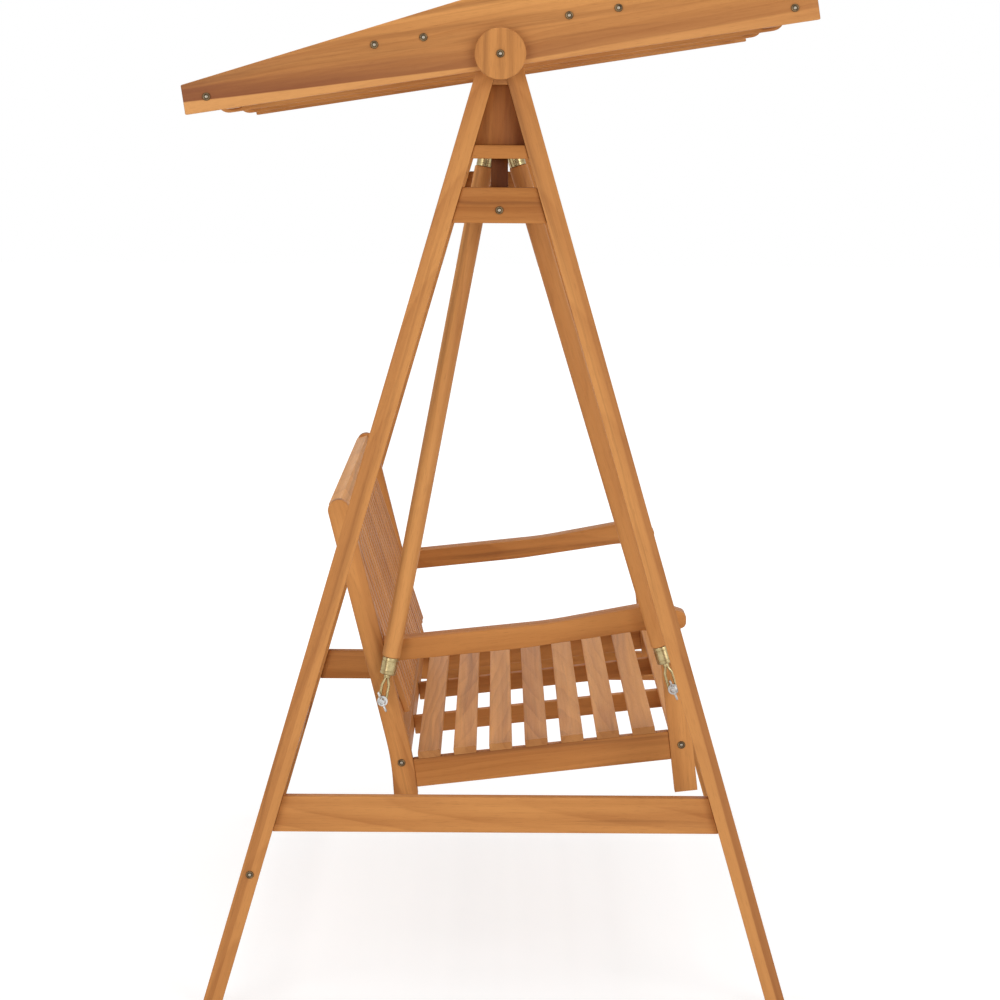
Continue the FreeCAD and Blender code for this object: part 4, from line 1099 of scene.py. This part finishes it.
class SWING_OT_bolts(bpy.types.Operator):
    """Round bolt heads on the stand, the canopy and the bench"""
    bl_idname = "swing.bolts"
    bl_label = "Bolt heads"

    def execute(self, context):
        tree = head_tree()
        head = bpy.data.objects.new("bolt_head_shape", bolt_head_mesh())
        bpy.context.scene.collection.objects.link(head)
        for node in ("stand_bolts", "canopy_bolts", "joint_bolts"):
            random = seeded(node)
            points, facing = [], []
            for low, high in solids_of(node):
                out, outer, _ = ends(low, high)
                axis = LENGTHWISE * out
                points.append(outer - axis * look("sizes").bolt_height)
                facing.append(axis)
            spins = random.uniform(0, 6, len(points))
            attributes = {"facing": ("FLOAT_VECTOR", facing), "spin": ("FLOAT", spins)}
            values = {"Head": head, "Size": 1.0, "Finish": bronze()}
            mesh = grown(node + "_heads", points, attributes, tree, values)
            show(node + "_heads", mesh, bronze(), BODY_OF[node], [node])
        bpy.data.objects.remove(head)
        node = "pivot_bolts"
        show(node + "_turned", pivot_bolts_mesh(), bronze(), BODY_OF[node], [node])
        return {"FINISHED"}


WASHER_RADIUS, WASHER_THICKNESS, WASHER_CHAMFER = 11.0 * MM, 1.5 * MM, 0.3 * MM
NUT_BORE = 4.05 * MM
HUB_RADIUS, HUB_HEIGHT, HUB_RIM = 6.5 * MM, 9.0 * MM, 1.0 * MM
HUB_FOOT, HUB_FOOT_HEIGHT = 7.5 * MM, 1.5 * MM
HUB_SHOULDER, HUB_TOP = 0.82, 0.70
WING_TURN = math.radians(68)
# Outline of a wing nut's ear, across from the bolt and up from the seat, in millimetres, and
# the levels through its thickness with the size of the outline there.
EAR_OUTLINE = [
    (4.8, 3.0), (9.4, 3.2), (14.0, 3.8), (18.4, 5.0), (21.6, 7.0), (22.8, 9.6), (21.4, 12.2),
    (17.8, 13.4), (13.6, 12.8), (9.8, 10.8), (6.8, 9.2), (4.6, 8.8)]
EAR_MIDDLE = Vector((14.4, 8.2))
EAR_LEVELS = ((-2.3, 0.78), (-1.4, 1.0), (1.4, 1.0), (2.3, 0.78))


class SWING_OT_wing_nuts(bpy.types.Operator):
    """Bright wing nuts with their washers on the hang bolts"""
    bl_idname = "swing.wing_nuts"
    bl_label = "Wing nuts"

    def execute(self, context):
        bm = bmesh.new()
        for low, high in solids_of("wing_nuts"):
            out, _, seat = ends(low, high)
            self.hub(bm, seat, LENGTHWISE * out)
            for way in (1, -1):
                self.ear(bm, seat, LENGTHWISE * out, way)
        mesh = closed_mesh(bm, "wing_nuts_cast")
        show("wing_nuts_cast", mesh, zinc(), BODY_OF["wing_nuts"], ["wing_nuts"])
        return {"FINISHED"}

    def hub(self, bm, seat, out):
        """Washer and tapered hub."""
        steps = look("sizes").round_steps
        thick, inner = WASHER_THICKNESS, WASHER_RADIUS - WASHER_CHAMFER
        lathe(bm, [(NUT_BORE, 0), (inner, 0), (WASHER_RADIUS, WASHER_CHAMFER),
                   (WASHER_RADIUS, thick - WASHER_CHAMFER), (inner, thick), (NUT_BORE, thick),
                   (NUT_BORE, 0)], seat, out, steps)
        tall = thick + HUB_HEIGHT
        lathe(bm, [(NUT_BORE, thick), (HUB_FOOT, thick), (HUB_FOOT, thick + HUB_FOOT_HEIGHT),
                   (HUB_RADIUS * HUB_SHOULDER, tall - HUB_RIM), (HUB_RADIUS * HUB_TOP, tall),
                   (NUT_BORE, tall), (NUT_BORE, thick)], seat, out, steps)

    def ear(self, bm, seat, out, way):
        """Round ear on one side of the hub."""
        across = Vector((0, math.cos(WING_TURN), math.sin(WING_TURN))) * way
        through = Vector((0, -math.sin(WING_TURN), math.cos(WING_TURN)))
        rings = []
        for level, size in EAR_LEVELS:
            spots = [EAR_MIDDLE + (Vector(spot) - EAR_MIDDLE) * size for spot in EAR_OUTLINE]
            rings.append([
                bm.verts.new(seat + (out * spot.y + across * spot.x + through * level) * MM)
                for spot in spots])
        for first, second in zip(rings, rings[1:]):
            for index in range(len(EAR_OUTLINE)):
                after = (index + 1) % len(EAR_OUTLINE)
                bm.faces.new((first[index], first[after], second[after], second[index]))
        bm.faces.new(rings[0])
        bm.faces.new(rings[-1])


class SWING_OT_steel(bpy.types.Operator):
    """Bright plated finish on the hanger fittings"""
    bl_idname = "swing.steel"
    bl_label = "Steel fittings"

    def execute(self, context):
        for node in ("hanger_brackets", "hanger_pins", "hang_bolts", "hang_spacers"):
            NODES[node].data.materials.clear()
            NODES[node].data.materials.append(zinc())
        return {"FINISHED"}


WHITE = (1, 1, 1, 1)
FLOOR_HALF, FLOOR_DROP = 30.0, 0.5 * MM
FLOOR_UNDER_OBJECT, FLOOR_SEEN = (0.92, 0.92, 0.92, 1), (0.5, 0.5, 0.5, 1)
FLOOR_ROUGHNESS = 0.9
GLOW_REACH, GLOW_STOPS = 6.0, [(0.22, 0.66), (0.75, 0.90)]
# Soft lamps: place, power in watts and size, in metres.
LAMPS = {
    "key": ((-7.0, -4.5, 2.8), 185, 4.0),
    "fill": ((-7.0, 4.5, 2.2), 160, 4.0),
    "top": ((0.2, 0.0, 5.4), 105, 3.6),
}
LAMP_AIM = Vector((0, 0, 1.1))
SENSOR_WIDTH = 36.0


def seen_directly(graph):
    """1 for what the camera sees, also in metal, and 0 for light on the object."""
    path = graph.add("ShaderNodeLightPath")
    seen = graph.math("MAXIMUM", path.outputs["Is Camera Ray"], path.outputs["Is Glossy Ray"])
    return graph.math("MAXIMUM", seen, path.outputs["Is Transmission Ray"])


class SWING_OT_stage(bpy.types.Operator):
    """Pale floor, soft studio light and the camera"""
    bl_idname = "swing.stage"
    bl_label = "Stage"

    def execute(self, context):
        self.floor()
        self.world()
        for name, (place, power, size) in LAMPS.items():
            self.lamp(name, place, power, size)
        self.camera()
        context.scene.view_settings.view_transform = "Standard"
        return {"FINISHED"}

    def floor(self):
        """Pale floor that glows where the camera sees it, and keeps the shadow."""
        bm = bmesh.new()
        bm.faces.new([bm.verts.new((x * FLOOR_HALF, y * FLOOR_HALF, -FLOOR_DROP))
                      for x, y in ((-1, -1), (1, -1), (1, 1), (-1, 1))])
        mesh = bpy.data.meshes.new("floor")
        bm.to_mesh(mesh)
        bm.free()
        floor = bpy.data.objects.new("floor", mesh)
        bpy.context.scene.collection.objects.link(floor)
        material, graph, shader = new_material("pale_floor")
        shader.inputs["Roughness"].default_value = FLOOR_ROUGHNESS
        shader.inputs["Specular IOR Level"].default_value = 0.0
        seen = seen_directly(graph)
        graph.link(graph.mix(seen, FLOOR_UNDER_OBJECT, FLOOR_SEEN), shader, "Base Color")
        place = graph.add("ShaderNodeTexCoord").outputs["Object"]
        away = graph.vector("LENGTH", place, output="Value")
        level = graph.ramp(graph.math("DIVIDE", away, GLOW_REACH), GLOW_STOPS)
        glow = graph.add("ShaderNodeEmission", {
            "Color": WHITE, "Strength": graph.times(seen, level)})
        both = graph.add("ShaderNodeAddShader", {0: shader.outputs[0], 1: glow.outputs[0]})
        graph.link(both.outputs[0], graph.tree.nodes["Material Output"], "Surface")
        mesh.materials.append(material)

    def world(self):
        """Even light on the object, and white where the camera sees past it."""
        world = bpy.data.worlds.new("studio")
        world.use_nodes = True
        bpy.context.scene.world = world
        graph = Graph(world.node_tree)
        back = world.node_tree.nodes["Background"]
        back.inputs["Color"].default_value = WHITE
        back.inputs["Strength"].default_value = look("stage").world_light
        white = graph.add("ShaderNodeBackground", {"Color": WHITE, "Strength": 1.0})
        shown = graph.add("ShaderNodeMixShader", {
            0: seen_directly(graph), 1: back.outputs[0], 2: white.outputs[0]})
        graph.link(shown.outputs[0], world.node_tree.nodes["World Output"], "Surface")

    def lamp(self, name, place, power, size):
        """Square soft lamp turned to the middle of the object."""
        data = bpy.data.lights.new(name, "AREA")
        data.energy = power
        data.size = size
        lamp = bpy.data.objects.new(name, data)
        lamp.location = place
        lamp.rotation_euler = (LAMP_AIM - Vector(place)).to_track_quat("-Z", "Y").to_euler()
        bpy.context.scene.collection.objects.link(lamp)

    def camera(self):
        """Camera off one end of the bench."""
        stage = look("stage")
        data = bpy.data.cameras.new("camera")
        data.lens = stage.lens
        data.sensor_width = SENSOR_WIDTH
        camera = bpy.data.objects.new("camera", data)
        camera.location = (-stage.camera_back, stage.camera_side, stage.camera_height)
        heading = Matrix.Rotation(stage.camera_turn - math.pi / 2, 3, "Z")
        dip = Matrix.Rotation(math.pi / 2 - stage.camera_dip, 3, "X")
        roll = Matrix.Rotation(stage.camera_roll, 3, "Z")
        camera.rotation_euler = (heading @ dip @ roll).to_euler()
        bpy.context.scene.collection.objects.link(camera)
        bpy.context.scene.camera = camera


class SWING_PT_panel(bpy.types.Panel):
    """Lists the steps that dress the swing bench"""
    bl_label = "Swing bench"
    bl_idname = "SWING_PT_panel"
    bl_space_type = "VIEW_3D"
    bl_region_type = "UI"
    bl_category = "Swing"

    def draw(self, context):
        for step in STEPS:
            self.layout.operator(step.bl_idname)


GROUPS = {"teak": TeakLook, "metal": MetalLook, "sizes": SwingSizes, "stage": StageLook}
STEPS = (
    SWING_OT_stand, SWING_OT_canopy, SWING_OT_bench, SWING_OT_arms, SWING_OT_ferrules,
    SWING_OT_eyes, SWING_OT_slats, SWING_OT_bolts, SWING_OT_wing_nuts, SWING_OT_steel,
    SWING_OT_stage)


def register():
    for item in (*GROUPS.values(), *STEPS, SWING_PT_panel):
        bpy.utils.register_class(item)
    for name, item in GROUPS.items():
        setattr(bpy.types.Scene, "swing_" + name, PointerProperty(type=item))


def unregister():
    for name in GROUPS:
        delattr(bpy.types.Scene, "swing_" + name)
    for item in (SWING_PT_panel, *reversed(STEPS), *GROUPS.values()):
        bpy.utils.unregister_class(item)


def main():
    """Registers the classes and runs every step."""
    register()
    for step in STEPS:
        group, name = step.bl_idname.split(".")
        getattr(getattr(bpy.ops, group), name)()


if __name__ == "__main__":
    main()
